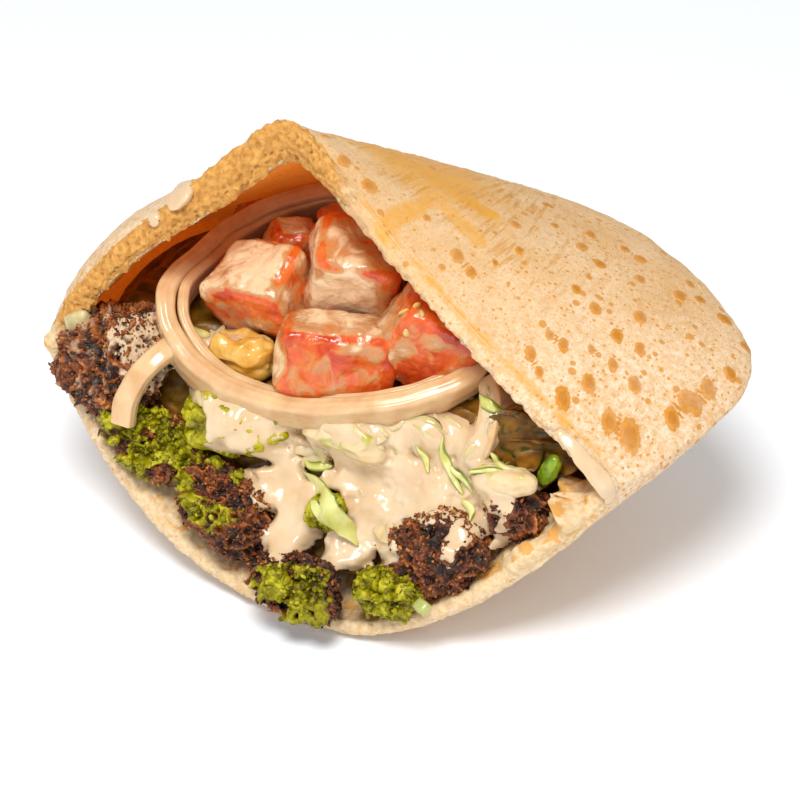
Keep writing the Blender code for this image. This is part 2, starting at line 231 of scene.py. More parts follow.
def squared(ball, power):
    # how far a ball's points lie from its middle when it is squared off: 2 leaves it round, 7 is nearly a cube
    return (np.abs(ball) ** power).sum(-1) ** (-1 / power)


def turned(points, degrees):
    # turned about x, then y, then z
    return points @ np.array(Euler([math.radians(a) for a in degrees]).to_matrix()).T


def colour(code, alpha=1.0):
    # sRGB hex to the linear values that a shader takes
    parts = [int(code[k:k + 2], 16) / 255 for k in (1, 3, 5)]
    return (*[c / 12.92 if c <= 0.04045 else ((c + 0.055) / 1.055) ** 2.4 for c in parts], alpha)


def addNode(tree, kind, sockets=None, out=0, stops=None, **settings):
    # a node with its settings; each socket gets a value or another node's output; gives back its own output
    node = tree.nodes.new("ShaderNode" + kind)
    for key, value in settings.items():
        setattr(node, key, value)
    for key, value in (sockets or {}).items():
        if isinstance(value, bpy.types.NodeSocket):
            tree.links.new(value, node.inputs[key])
        else:
            node.inputs[key].default_value = value
    if stops:
        ramp = node.color_ramp.elements
        while len(ramp) < len(stops):
            ramp.new(0.5)
        for element, (position, code) in zip(ramp, stops):
            element.position, element.color = position, colour(code)
    return node.outputs[out] if len(node.outputs) else None


def newMaterial(name, *marks):
    # an empty material, the function that adds nodes to it, the place on the object and the piece's marks
    material = bpy.data.materials.new(name)
    material.use_nodes = True
    material.node_tree.nodes.clear()
    node = partial(addNode, material.node_tree)
    mark = {key: node("Attribute", out="Fac", attribute_name=key) for key in marks}
    return material, node, node("TexCoord", out="Object"), mark


def perMm(size):
    return 1 / (size * mm)  # a texture's scale for a feature of this size


rgb = dict(out=2, data_type="RGBA")  # settings of a Mix node that mixes two colours
times = dict(operation="MULTIPLY")


def breadMaterial():
    # thin wheat flatbread, baked fast and dusted with flour: matt cream with golden blisters and oily streaks
    material, node, place, mark = newMaterial(
        "bakedPitaSkin", "flour", "turn", "depth", "streak", "oil", "dense", "lining", "glow",
        "blisterAcross", "blisterAlong", "blisterFar", "blisterBelow")

    def fleck(size, seed, largest, share):
        # dots of random radius, one in some of the cells of this size: 1 in a dot's middle, 0 outside it
        shifted = node("VectorMath", {0: place, 1: (seed, 0.0, 0.0)}, operation="ADD")
        cell = dict(Vector=shifted, Scale=perMm(size))
        chance = node("SeparateColor", {0: node("TexVoronoi", cell, "Color")})
        rarest = node("Math", {0: 1.0, 1: share}, operation="SUBTRACT")
        radius = node("MapRange", {0: chance, 1: rarest, 2: 1.0, 3: 0.04, 4: largest})
        gap = node("Math", {0: radius, 1: node("TexVoronoi", cell, "Distance")}, operation="SUBTRACT")
        return node("MapRange", {0: gap, 1: 0.0, 2: 0.07})

    broad = node("MapRange", {0: node("TexNoise", {"Vector": place, "Scale": perMm(14)}), 1: 0.35, 2: 0.65})
    mottle = node("TexNoise", {"Vector": place, "Scale": perMm(1.1), "Detail": 5.0, "Roughness": 0.7})
    fine = node("MapRange", {0: mottle, 1: 0.38, 2: 0.68})
    speck = node("TexNoise", {"Vector": place, "Scale": perMm(0.55), "Detail": 3.0, "Roughness": 0.7})
    speck = node("MapRange", {0: speck, 1: 0.54, 2: 0.66})
    base = node("Mix", {0: broad, 6: colour("#E4C195"), 7: colour("#DAAE78")}, **rgb)
    base = node("Mix", {0: node("Math", {0: fine, 1: 0.5}, **times), 6: base, 7: colour("#DCA45A")}, **rgb)
    base = node("Mix", {0: node("Math", {0: speck, 1: 0.8}, **times), 6: base, 7: colour("#CC8E3A")}, **rgb)
    dust = node("TexNoise", {"Vector": place, "Scale": perMm(1.4), "Detail": 5.0, "Roughness": 0.8})
    dust = node("Math", {0: node("MapRange", {0: dust, 1: 0.42, 2: 0.66}), 1: mark["flour"]}, **times)
    base = node("Mix", {0: dust, 6: base, 7: colour("#EFD9BC")}, **rgb)
    # wrinkles: noise drawn out along the pocket, from how far round and how deep in a point lies
    flow = node("CombineXYZ", {0: node("Math", {0: mark["turn"], 1: 170.0}, **times),
                               1: node("Math", {0: mark["depth"], 1: 6.0}, **times)})
    wrinkle = node("TexNoise", {"Vector": flow, "Scale": 1.0, "Detail": 3.0, "Roughness": 0.6})
    streak = node("Math", {0: node("MapRange", {0: wrinkle, 1: 0.52, 2: 0.64}), 1: mark["streak"]}, **times)
    base = node("Mix", {0: streak, 6: base, 7: colour("#CC8A2C")}, **rgb)
    smear = node("TexNoise", {"Vector": place, "Scale": perMm(1.5), "Detail": 4.0})
    smear = node("Math", {0: mark["oil"], 1: node("Math", {0: smear, 1: 0.5}, **times)})
    oil = node("MapRange", {0: smear, 1: 0.42, 2: 1.05})
    base = node("Mix", {0: oil, 6: base, 7: colour("#E29E2C")}, **rgb)
    ragged = node("TexNoise", {"Vector": place, "Scale": perMm(0.9), "Detail": 4.0, "Roughness": 0.65})
    away = node("CombineXYZ", {0: mark["blisterAcross"], 1: mark["blisterAlong"], 2: mark["blisterFar"]})
    away = node("VectorMath", {0: away}, "Value", operation="LENGTH")
    blister = node("Math", {0: 1.0, 1: away}, operation="SUBTRACT")
    blister = node("Math", {0: blister, 1: mark["blisterBelow"]}, operation="MAXIMUM")
    blister = node("Math", {0: blister, 1: node("Math", {0: ragged, 1: 0.9}, **times)})
    faint = node("TexNoise", {"Vector": place, "Scale": perMm(8)})
    faint = node("MapRange", {0: faint, 1: 0.35, 2: 0.6, 3: 0.7})
    inside = node("Math", {0: node("MapRange", {0: blister, 1: 0.40, 2: 0.62}), 1: faint}, **times)
    scorch = node("ValToRGB", {0: blister}, stops=[(0.44, "#DC9C44"), (0.60, "#C67E1C"), (0.72, "#D8922A"),
                                                   (0.90, "#CE881E"), (1.0, "#C07812")])
    half = node("Math", {0: fine, 1: 0.5}, **times)
    scorch = node("Mix", {0: half, 6: scorch, 7: colour("#BE7412")}, **rgb)
    base = node("Mix", {0: inside, 6: base, 7: scorch}, **rgb)
    more = node("Math", {0: mark["dense"], 1: 1.15}, **times)
    dots = node("Math", {0: fleck(2.8, 0.03, 0.36, more), 1: fleck(1.1, 0.07, 0.40, mark["dense"])},
                operation="MAXIMUM")
    base = node("Mix", {0: node("Math", {0: dots, 1: 0.85}, **times), 6: base, 7: colour("#CE8826")}, **rgb)
    # the lining's orange: partly oil and sauce, partly painted warm bounce light that brightens the shaded
    # cavity
    toasted = node("Mix", {0: fine, 6: colour("#F09C34"), 7: colour("#D67C1A")}, **rgb)
    base = node("Mix", {0: mark["lining"], 6: base, 7: toasted}, **rgb)
    grit = node("TexNoise", {"Vector": place, "Scale": perMm(0.5), "Detail": 4.0, "Roughness": 0.7})
    grit = node("Math", {0: grit, 1: node("Math", {0: streak, 1: -0.8}, **times)})
    grit = node("Bump", {"Height": grit, "Distance": 0.2 * mm, "Strength": 0.9})
    rough = node("MapRange", {0: oil, 3: 0.78, 4: 0.42})
    # painted light: emission on the lining, in a dark orange, stands in for light that would come through the
    # thin bread and bounce into the cavity
    finish(node, base, rough, grit, {"Subsurface Weight": 0.08, "Subsurface Scale": 0.004,
                                     "Emission Color": colour("#A04C0A"), "Emission Strength": mark["glow"]})
    return material


def crumbMaterial():
    # the torn edge of the bread: open crumb, pale inside, toasted golden brown where it faced the heat
    material, node, place, mark = newMaterial("tornPitaCrumb", "toast", "spots", "pit")
    fine = node("TexNoise", {"Vector": place, "Scale": perMm(1.2), "Detail": 5.0, "Roughness": 0.7})
    fine = node("MapRange", {0: fine, 1: 0.36, 2: 0.66})
    patch = node("TexNoise", {"Vector": place, "Scale": perMm(3.0), "Detail": 5.0, "Roughness": 0.6})
    toast = node("Math", {0: mark["toast"], 1: node("Math", {0: patch, 1: 0.9}, **times)})
    toast = node("MapRange", {0: toast, 1: 0.5, 2: 1.25})
    pale = node("Mix", {0: fine, 6: colour("#EAD1A8"), 7: colour("#DBB27A")}, **rgb)
    brown = node("Mix", {0: fine, 6: colour("#DFA754"), 7: colour("#B6762A")}, **rgb)
    base = node("Mix", {0: toast, 6: pale, 7: brown}, **rgb)
    dot = node("TexNoise", {"Vector": place, "Scale": perMm(3.4), "Detail": 4.0, "Roughness": 0.6})
    dot = node("Math", {0: mark["spots"], 1: dot}, **times)
    dot = node("MapRange", {0: dot, 1: 0.50, 2: 0.56, 4: 0.8})
    base = node("Mix", {0: dot, 6: base, 7: colour("#DE9A32")}, **rgb)
    # painted shade: the pores darken towards brown, as shade would fill them
    pit = node("Math", {0: mark["pit"], 1: 0.45}, **times)
    base = node("Mix", {0: pit, 6: base, 7: colour("#9C6222")}, **rgb)
    grit = node("TexNoise", {"Vector": place, "Scale": perMm(0.55), "Detail": 4.0, "Roughness": 0.75})
    grit = node("Bump", {"Height": grit, "Distance": 0.2 * mm, "Strength": 0.7})
    finish(node, base, 0.8, grit, {"Subsurface Weight": 0.12, "Subsurface Scale": 0.003})
    return material


def falafelMaterial():
    # deep-fried chickpea and herb mix: a dark brown crust of oily grains, and a moist green crumb inside
    material, node, place, mark = newMaterial("friedFalafel", "tone", "pit", "inside", "coat")
    inside = mark["inside"]
    grain = node("TexNoise", {"Vector": place, "Scale": perMm(0.8), "Detail": 4.0, "Roughness": 0.65})
    grain = node("MapRange", {0: grain, 1: 0.3, 2: 0.7, 3: -0.18, 4: 0.18})
    tone = node("Math", {0: mark["tone"], 1: grain})
    crust = node("ValToRGB", {0: tone}, stops=[
        (0.05, "#140A06"), (0.28, "#3A1C0E"), (0.50, "#6A3314"), (0.74, "#9A5220"), (0.95, "#C98338")])
    herb = node("ValToRGB", {0: tone}, stops=[
        (0.05, "#2E2602"), (0.28, "#564A04"), (0.50, "#7A7004"), (0.74, "#968E06"), (0.95, "#BEB026")])
    base = node("Mix", {0: inside, 6: crust, 7: herb}, **rgb)
    # painted shade: pit darkens creases and holes almost to black, in the crust and in the green crumb
    deep = node("Mix", {0: inside, 6: colour("#0C0503"), 7: colour("#2E2A04")}, **rgb)
    pit = node("Math", {0: mark["pit"], 1: 0.7}, **times)
    base = node("Mix", {0: pit, 6: base, 7: deep}, **rgb)
    milky = node("TexNoise", {"Vector": place, "Scale": perMm(1.6)})
    sauce = node("Mix", {0: milky, 6: colour("#BE9C78"), 7: colour("#E6CBA6")}, **rgb)
    base = node("Mix", {0: mark["coat"], 6: base, 7: sauce}, **rgb)
    grit = node("TexNoise", {"Vector": place, "Scale": perMm(0.4), "Detail": 3.0, "Roughness": 0.7})
    strength = node("MapRange", {0: inside, 3: 0.7, 4: 0.3})
    grit = node("Bump", {"Height": grit, "Distance": 0.2 * mm, "Strength": strength})
    rough = node("MapRange", {0: inside, 3: 0.42, 4: 0.34})
    shine = node("MapRange", {0: inside, 3: 0.36, 4: 0.22})
    finish(node, base, rough, grit, {"Specular IOR Level": shine})
    return material


def tomatoMaterial():
    # ripe tomato, diced: wet red flesh under a film of tahini that has turned pink with its juice
    material, node, place, mark = newMaterial("dicedTomato", "coat")
    flesh = node("TexNoise", {"Vector": place, "Scale": perMm(5.0), "Detail": 4.0, "Distortion": 0.5})
    flesh = node("ValToRGB", {0: flesh}, stops=[(0.34, "#B8380C"), (0.50, "#D8571C"), (0.66, "#E87A34")])
    swirl = node("TexNoise", {"Vector": place, "Scale": perMm(4.6), "Detail": 4.0, "Roughness": 0.6,
                              "Distortion": 1.0})
    swirl = node("MapRange", {0: swirl, 1: 0.3, 2: 0.7, 3: -0.26, 4: 0.26})
    coat = node("Math", {0: mark["coat"], 1: swirl})
    film = node("ValToRGB", {0: coat}, stops=[(0.28, "#CC4A10"), (0.42, "#D06C2A"), (0.54, "#CA824A"),
                                              (0.72, "#C28C5A"), (1.0, "#E8C69C")])
    base = node("Mix", {0: node("MapRange", {0: coat, 1: 0.22, 2: 0.46}), 6: flesh, 7: film}, **rgb)
    wavy = node("TexNoise", {"Vector": place, "Scale": perMm(1.3), "Detail": 4.0})
    wavy = node("Bump", {"Height": node("Math", {0: wavy, 1: coat}), "Distance": 0.35 * mm, "Strength": 0.65})
    finish(node, base, 0.2, wavy, {"Subsurface Weight": 0.2, "Subsurface Scale": 0.003, "Coat Weight": 0.5,
                                   "Coat Roughness": 0.07, "IOR": 1.38})
    return material


def wetMaterial(name, dark, pale, tint, size, roughness, subsurface, shine=0.4):
    # wet cut vegetable: two tones in soft patches, and a tint that the piece's own mark brings out
    material, node, place, mark = newMaterial(name, "tint")
    patch = node("TexNoise", {"Vector": place, "Scale": perMm(size), "Detail": 4.0})
    patch = node("MapRange", {0: patch, 1: 0.35, 2: 0.65})
    base = node("Mix", {0: patch, 6: colour(dark), 7: colour(pale)}, **rgb)
    base = node("Mix", {0: mark["tint"], 6: base, 7: colour(tint)}, **rgb)
    wavy = node("TexNoise", {"Vector": place, "Scale": perMm(size / 3), "Detail": 3.0})
    wavy = node("Bump", {"Height": wavy, "Distance": 0.15 * mm, "Strength": 0.5})
    finish(node, base, roughness, wavy, {"Subsurface Weight": subsurface, "Subsurface Scale": 0.003,
                                         "Coat Weight": shine, "Coat Roughness": 0.12, "IOR": 1.38})
    return material


def sauceMaterial():
    # tahini thinned with lemon: smooth, glossy, cream to beige, flecked with herbs and crumbs at its edges
    material, node, place, mark = newMaterial("tahiniSauce", "thin")
    thin = mark["thin"]
    patch = node("MapRange", {0: node("TexNoise", {"Vector": place, "Scale": perMm(8)}), 1: 0.35, 2: 0.65})
    base = node("Mix", {0: patch, 6: colour("#E6C8A2"), 7: colour("#DAB78C")}, **rgb)
    base = node("Mix", {0: node("Math", {0: thin, 1: 0.35}, **times), 6: base, 7: colour("#CFAA80")}, **rgb)
    fleck = node("TexVoronoi", {"Vector": place, "Scale": perMm(2.3)}, out="Distance")
    fleck = node("MapRange", {0: fleck, 1: 0.10, 2: 0.06})
    where = node("Math", {0: node("TexNoise", {"Vector": place, "Scale": perMm(5)}), 1: thin})
    where = node("MapRange", {0: where, 1: 0.66, 2: 0.76})
    base = node("Mix", {0: node("Math", {0: fleck, 1: where}, **times), 6: base, 7: colour("#4A3620")}, **rgb)
    wavy = node("TexNoise", {"Vector": place, "Scale": perMm(2.4), "Detail": 3.0})
    wavy = node("Bump", {"Height": wavy, "Distance": 0.2 * mm, "Strength": 0.4})
    finish(node, base, 0.2, wavy, {"Subsurface Weight": 0.25, "Subsurface Scale": 0.003, "Coat Weight": 0.4,
                                   "Coat Roughness": 0.08, "IOR": 1.45})
    return material


def finish(node, base, roughness, normal, more):
    # the shader that ends every material
    sockets = {"Base Color": base, "Roughness": roughness, "Normal": normal,
               "Subsurface Radius": (1.0, 0.6, 0.35)}
    node("OutputMaterial", {"Surface": node("BsdfPrincipled", {**sockets, **more})})


bread = breadMaterial()
tornCrumb = crumbMaterial()
friedFalafel = falafelMaterial()
dicedTomato = tomatoMaterial()
rawOnion = wetMaterial("rawOnion", "#D2A474", "#E0BC8C", "#B9A050", 5, 0.2, 0.3)
cabbage = wetMaterial("whiteCabbage", "#D8B984", "#E6CBA0", "#B0B040", 4, 0.25, 0.3)
lettuce = wetMaterial("lettuceLeaf", "#C4BE58", "#E4DC94", "#6E8420", 4, 0.3, 0.25)
cucumber = wetMaterial("slicedCucumber", "#B8A468", "#D8C592", "#3A5018", 3, 0.22, 0.3)
pickled = wetMaterial("pickledTurnip", "#CE9230", "#E2B45C", "#E6C890", 4, 0.2, 0.4)
pepper = wetMaterial("greenPepper", "#6A8A10", "#98AE28", "#46680C", 3, 0.2, 0.2)
# painted shade: a brown-olive leaf, darker than a leaf's own green, for the salad core, leaves deep in the
# pocket and the shaded slice at the right
darkLeaf = wetMaterial("shadeDarkenedLettuceLeaf", "#57360A", "#8E6018", "#2A3E08", 3, 0.35, 0.15, 0.0)
tahini = sauceMaterial()
print("materials made")


pita = dict(depth=80.0, halfRight=61.0, halfLeft=63.5, bellyRight=0.305, bellyLeft=0.15, cornerZ=39.0,
            backRise=8.2, lean=1.5, roof=48.5, peakAt=-0.27, keelAt=0.168, peakBack=17.5, lipForward=17.2,
            bellyFull=6.0, rim=4.5, tail=4.5, tailAt=0.6, wall=4.6, lipThin=2.2, lipThick=7.2, thickAt=0.67,
            thickSpan=0.32, lipDepth=0.14, closedEnd=0.88, middle=(5.0, 20.0, 0.0))


def tent(side, peak, rounding, bulge):
    # 1 at the peak and 0 at both corners: straight slopes with a rounded top, swollen by bulge
    away = np.where(side > peak, (side - peak) / (1 - peak), (peak - side) / (1 + peak))
    away = (np.hypot(away, rounding) - rounding) / (np.hypot(1, rounding) - rounding)
    return (1 - away) * (1 + bulge * away), away


def wallOf(angle, depth):
    # thickness of the bread: the lip's at the mouth, the wall's from lipDepth on
    off = np.clip(np.abs(angle / np.pi - pita["thickAt"]) / pita["thickSpan"], 0, 1)
    lip = pita["lipThin"] + (pita["lipThick"] - pita["lipThin"]) * np.cos(off * np.pi / 2) ** 2
    lip = lip - 3.6 * bell(angle / np.pi, 0.74, 0.11)  # thinner than the solid's in the torn part's middle
    return lip + (pita["wall"] - lip) * smooth(depth, 0, pita["lipDepth"])


def pocket(angle, depth, inset=0.0):
    # the pocket's skin: angle from the right corner over the roof to the left one and back below,
    # depth 0 at the mouth and 1 at the closed end; an inset skin is the cavity's
    p = pita
    angle, depth = np.broadcast_arrays(np.asarray(angle, float), np.asarray(depth, float))
    inner = np.max(inset) > 0
    closing = np.sqrt(np.clip(1 - depth**5, 0, 1)) if inner else 1.0
    t = depth * p["closedEnd"] if inner else depth
    side, upper = np.cos(angle), np.sin(angle) >= 0
    widening = 1 - (1 - np.clip(2 * t, 0, 1)) ** 1.5
    half = np.where(side > 0, p["halfRight"] * (1 + p["bellyRight"] * widening),
                    p["halfLeft"] * (1 + p["bellyLeft"] * widening))
    half = (half * np.sqrt(np.clip(1 - t**2, 0, 1)) ** 0.92 - 1.2 * inset) * closing
    peak = np.where(upper, p["peakAt"], p["keelAt"]) * np.clip(1 - t, 0, 1) ** 0.7
    right = side > peak
    lipBulge = np.where(upper, np.where(right, -0.10, 0.02), np.where(right, 0.38, 0.80))
    deepBulge = np.where(upper, 0.39, np.where(right, -0.8, -0.3))
    share = np.where(upper, t**0.7, np.clip(t / 0.45, 0, 1) ** 0.8)
    bulge = lipBulge + (deepBulge - lipBulge) * share
    rise, away = tent(side, peak, np.where(upper, 0.07 + 0.3 * t, 0.3), bulge)
    backRise = p["backRise"] * (1 - (1 - t) ** 2)
    rim = np.maximum(p["rim"] - inset, 0.0)
    roof = p["roof"] * (1 - t**1.02) + p["rim"] - rim - 1.35 * inset
    belly = p["cornerZ"] + backRise - p["rim"] - 1 + p["bellyFull"] * np.clip(t / 0.2, 0, 1)
    keel = belly * (1 - t**6) + p["rim"] - rim - 1.05 * inset
    edge = rim * np.sqrt(np.clip(1 - away**8, 0, 1)) * np.sqrt(np.clip(1 - t**6, 0, 1))
    height = np.where(upper, np.maximum(roof, 0) * rise + edge, -np.maximum(keel, 0) * rise - edge) * closing
    setOff = np.where(upper, p["peakBack"] * rise**1.8, -p["lipForward"] * rise)
    x = half * side + p["tail"] * np.clip(side, 0, 1) ** 7 * bell(t, p["tailAt"], 0.22)
    y = p["depth"] * t + setOff * (1 - t) ** 2
    shoulder = 2.2 * bell(angle / np.pi, 0.79, 0.11) * bell(t, 0, 0.3)
    z = height + p["cornerZ"] + backRise + p["lean"] * side + shoulder
    return np.stack([x, y, np.maximum(z, inset)], -1) - p["middle"]


# blisters of the roof: place across and into the pocket, and radius
blisters = np.array([
    (-3.6, -2.6, 1.9), (-9.8, -0.8, 1.6), (-16.5, 4.0, 1.3), (15.5, -3.6, 1.7), (19.1, -4.9, 1.4),
    (7.2, 0.3, 1.0), (21.4, 1.1, 0.8), (23.2, 8.4, 1.1), (18.8, 16.0, 1.5), (17.2, 36.2, 1.6),
    (23.2, 26.0, 1.2), (29.0, 30.5, 1.4), (30.4, 23.0, 1.6), (35.5, 20.1, 1.6), (40.4, 6.4, 1.5),
    (39.1, -6.0, 1.4), (34.8, -11.7, 1.5), (37.6, -13.8, 1.1), (45.9, -9.3, 1.8), (43.0, -15.0, 2.0),
    (48.2, -2.7, 1.3), (35.6, 8.0, 1.2), (35.9, 13.6, 0.9), (36.1, -5.9, 1.1), (43.6, -2.9, 1.0),
    (46.2, 3.7, 1.6), (42.8, 23.5, 1.4), (39.4, 31.8, 1.7), (47.7, 11.6, 1.7), (50.8, 4.3, 1.5),
    (53.0, -3.1, 1.7), (61.7, 1.5, 2.1), (63.4, 2.5, 1.9), (61.0, -3.3, 1.9), (55.9, -11.8, 2.7),
    (51.8, -12.5, 2.0), (50.2, 26.7, 1.7), (35.8, 32.5, 1.4), (59.1, 28.9, 2.0), (64.1, 7.2, 2.0),
    (66.0, 14.1, 1.6), (65.2, 24.6, 1.5), (53.3, 30.0, 1.4), (49.6, 33.8, 1.3), (-24.0, 8.0, 1.0),
    (-34.0, 20.0, 1.4), (-44.0, 10.0, 1.2)])


def blisterPlaces(points, upper):
    # where each point lies in its nearest blister: across and along it as shares of its radius, and a third
    # number that grows outside it and keeps neighbours apart
    x, y = points[..., 0][upper], points[..., 1][upper]
    place = np.tile([0.0, 0.0, 9.0], (*x.shape, 1))
    nearest = np.full(x.shape, 3.0)
    lean = 0.35
    for middleX, middleY, radius in blisters * (1, 1, 0.82):
        across = (x - middleX) * math.cos(lean) + (y - middleY) * math.sin(lean)
        along = 0.72 * ((y - middleY) * math.cos(lean) - (x - middleX) * math.sin(lean))
        gap = np.hypot(across, along) - radius
        own = gap < nearest
        nearest[own] = gap[own]
        outside = 2.5 * np.clip(gap[own] - 0.25, 0, 3)
        place[own] = np.stack([across[own] / radius, along[own] / radius, outside], -1)
    places = np.broadcast_to([0.0, 0.0, 9.0], points.shape).copy()
    places[upper] = place
    return places


def makeBread():
    # the pocket's skin, a rounded lip and the cavity's skin in one grid, with the marks that colour it
    columns, outerRows, lipRows, innerRows = 800, 160, 6, 46
    angle = np.arange(columns)[None, :] * 2 * np.pi / columns
    tornHere = smooth(angle / np.pi, 0.46, 0.56) * smooth(angle / np.pi, 0.98, 0.86)
    depth = np.sin(np.linspace(0, np.pi / 2, outerRows))[:, None]
    outer = pocket(angle, depth)
    inside = np.sin(np.linspace(0, np.pi / 2, innerRows))[:, None]
    cavity = pocket(angle, inside, wallOf(angle, inside))
    cavity[0, :, 1] = outer[0, :, 1]
    share = np.linspace(0, 1, lipRows + 2)[1:-1, None, None]
    lip = outer[:1] + (cavity[:1] - outer[:1]) * share
    lip[..., 1] -= (0.8 - 2.2 * tornHere) * np.sin(np.pi * share[..., 0])  # hollow under the torn crumb
    grid = np.concatenate([outer[::-1], lip, cavity])
    normal = gridNormals(grid)
    turn, torn = (np.broadcast_to(values, grid.shape[:2]) for values in (angle / np.pi, tornHere))
    depths = np.concatenate([depth[::-1], np.zeros((lipRows, 1)), inside])
    depths = np.broadcast_to(depths, grid.shape[:2])
    isOuter = np.arange(len(grid))[:, None] < outerRows + 2
    height = np.sin(turn * np.pi)
    upper = height >= -0.05
    # soft waves everywhere, fine wrinkles that run back from the ridge, and folds beside the torn left edge
    flow = np.stack([turn * np.pi * 60, depths * 6.0, 0 * turn], -1)
    lift = 0.35 * layered(grid, 11, 3) + 0.12 * layered(grid, 2.2, 4, 3)
    lift = lift + 0.2 * bell(turn, 0.52, 0.13) * smooth(depths, 0.12, 0.4) * layered(flow, 0.55, 21, 3)
    folds = bell(turn, 0.86, 0.12) * smooth(depths, 0.30, 0.02)
    lift = lift + 0.45 * folds * np.sin(depths * 95 + 2.5 * noise(grid, 9, 5))
    lift = lift - 0.8 * smooth(depths, 0.10, 0.04) * torn
    places = blisterPlaces(grid, isOuter & upper)
    lift = lift + 0.22 * smooth(np.linalg.norm(places, axis=-1), 1.05, 0.65)
    below = np.where(isOuter & ~upper, 0.75 * layered(grid, 7.0, 19, 3) - 0.28, -1.0)
    # wrinkles brown near the ridge, and faintly over the rest
    streak = bell(turn, 0.47, 0.16) * smooth(depths, 0.10, 0.3) * smooth(depths, 1.0, 0.6)
    streak = np.maximum(streak, 0.22 * smooth(depths, 0.1, 0.5) * upper) * isOuter
    grid = grid + normal * (lift * np.where(isOuter, 1.0, smooth(depths, 0.0, 0.05)))[..., None]
    frayed = layered(grid * np.array([1, 0, 1]), 1.4, 6, 3) * np.exp(-(depths / 0.012) ** 2)
    grid[..., 1] += 0.6 * frayed
    grid[..., 2] = np.maximum(grid[..., 2], 0.0)
    # oil along the edge and the ridge, and on smears: each smear's two ends in place, width and strength
    oil = 0.75 * bell(depths, 0.018, 0.012) * isOuter * smooth(height, 0.1, 0.5)
    oil = oil * smooth(layered(grid, 4, 16), -0.5, 0.3)
    smears = [((2.5, -12.4), (6.0, 14.0), 3.0, 0.62), ((-6.0, 18.0), (13.0, 14.0), 4.2, 1.0),
              ((5.0, 8.0), (16.0, 4.0), 3.4, 0.6)]
    for a, b, width, strength in smears:
        a, b = np.array(a), np.array(b)
        along = np.clip(((grid[..., :2] - a) @ (b - a)) / ((b - a) ** 2).sum(), 0, 1)
        off = np.linalg.norm(grid[..., :2] - a - along[..., None] * (b - a), axis=-1)
        off = off + 0.8 * layered(grid, 3.0, 17, 3)
        oil = np.maximum(oil, smooth(off, width, 0.3 * width) * strength * upper * isOuter)
    ridge = bell(turn, 0.50, 0.09) * smooth(depths, 0.12, 0.4) * smooth(depths, 0.95, 0.5) * isOuter
    oil = np.maximum(oil, 1.15 * ridge * (0.75 + 0.25 * layered(grid, 6, 18)))
    x, y = grid[..., 0], grid[..., 1]
    flour = np.maximum(smooth(x - 0.9 * y, 20, 58), smooth(x, -15, -45)) * 0.8 + 0.2
    # the lining shows over the filling and down the left side; its orange is partly oil and sauce on the bread
    # and partly painted warm bounce light
    sideWall = smooth(height, -0.75, -0.5) * (np.cos(turn * np.pi) < 0) * smooth(depths, 0.12, 0.2)
    lining = (1.0 - isOuter) * np.maximum((height > -0.02) * smooth(depths, 0.01, 0.03), sideWall)
    # painted light: how strongly the lining glows, most near the mouth and on the left side wall
    glow = lining * np.maximum(0.3 * smooth(depths, 0.30, 0.04), 0.55 * sideWall * smooth(depths, 0.95, 0.5))
    dense = (0.25 + 0.55 * smooth(x + 0.35 * y, 0, 60)) * isOuter
    across, along, far = np.moveaxis(places, -1, 0)
    points, faceSets, marks = cappedMarks(grid, blisterBelow=below, oil=oil, streak=streak, flour=flour,
                                          lining=lining, turn=turn, depth=depths, dense=dense, glow=glow,
                                          blisterAcross=across, blisterAlong=along, blisterFar=far)
    makePiece("pitaBread", points, faceSets, bread, "pita", marks, replaces=("pita",))


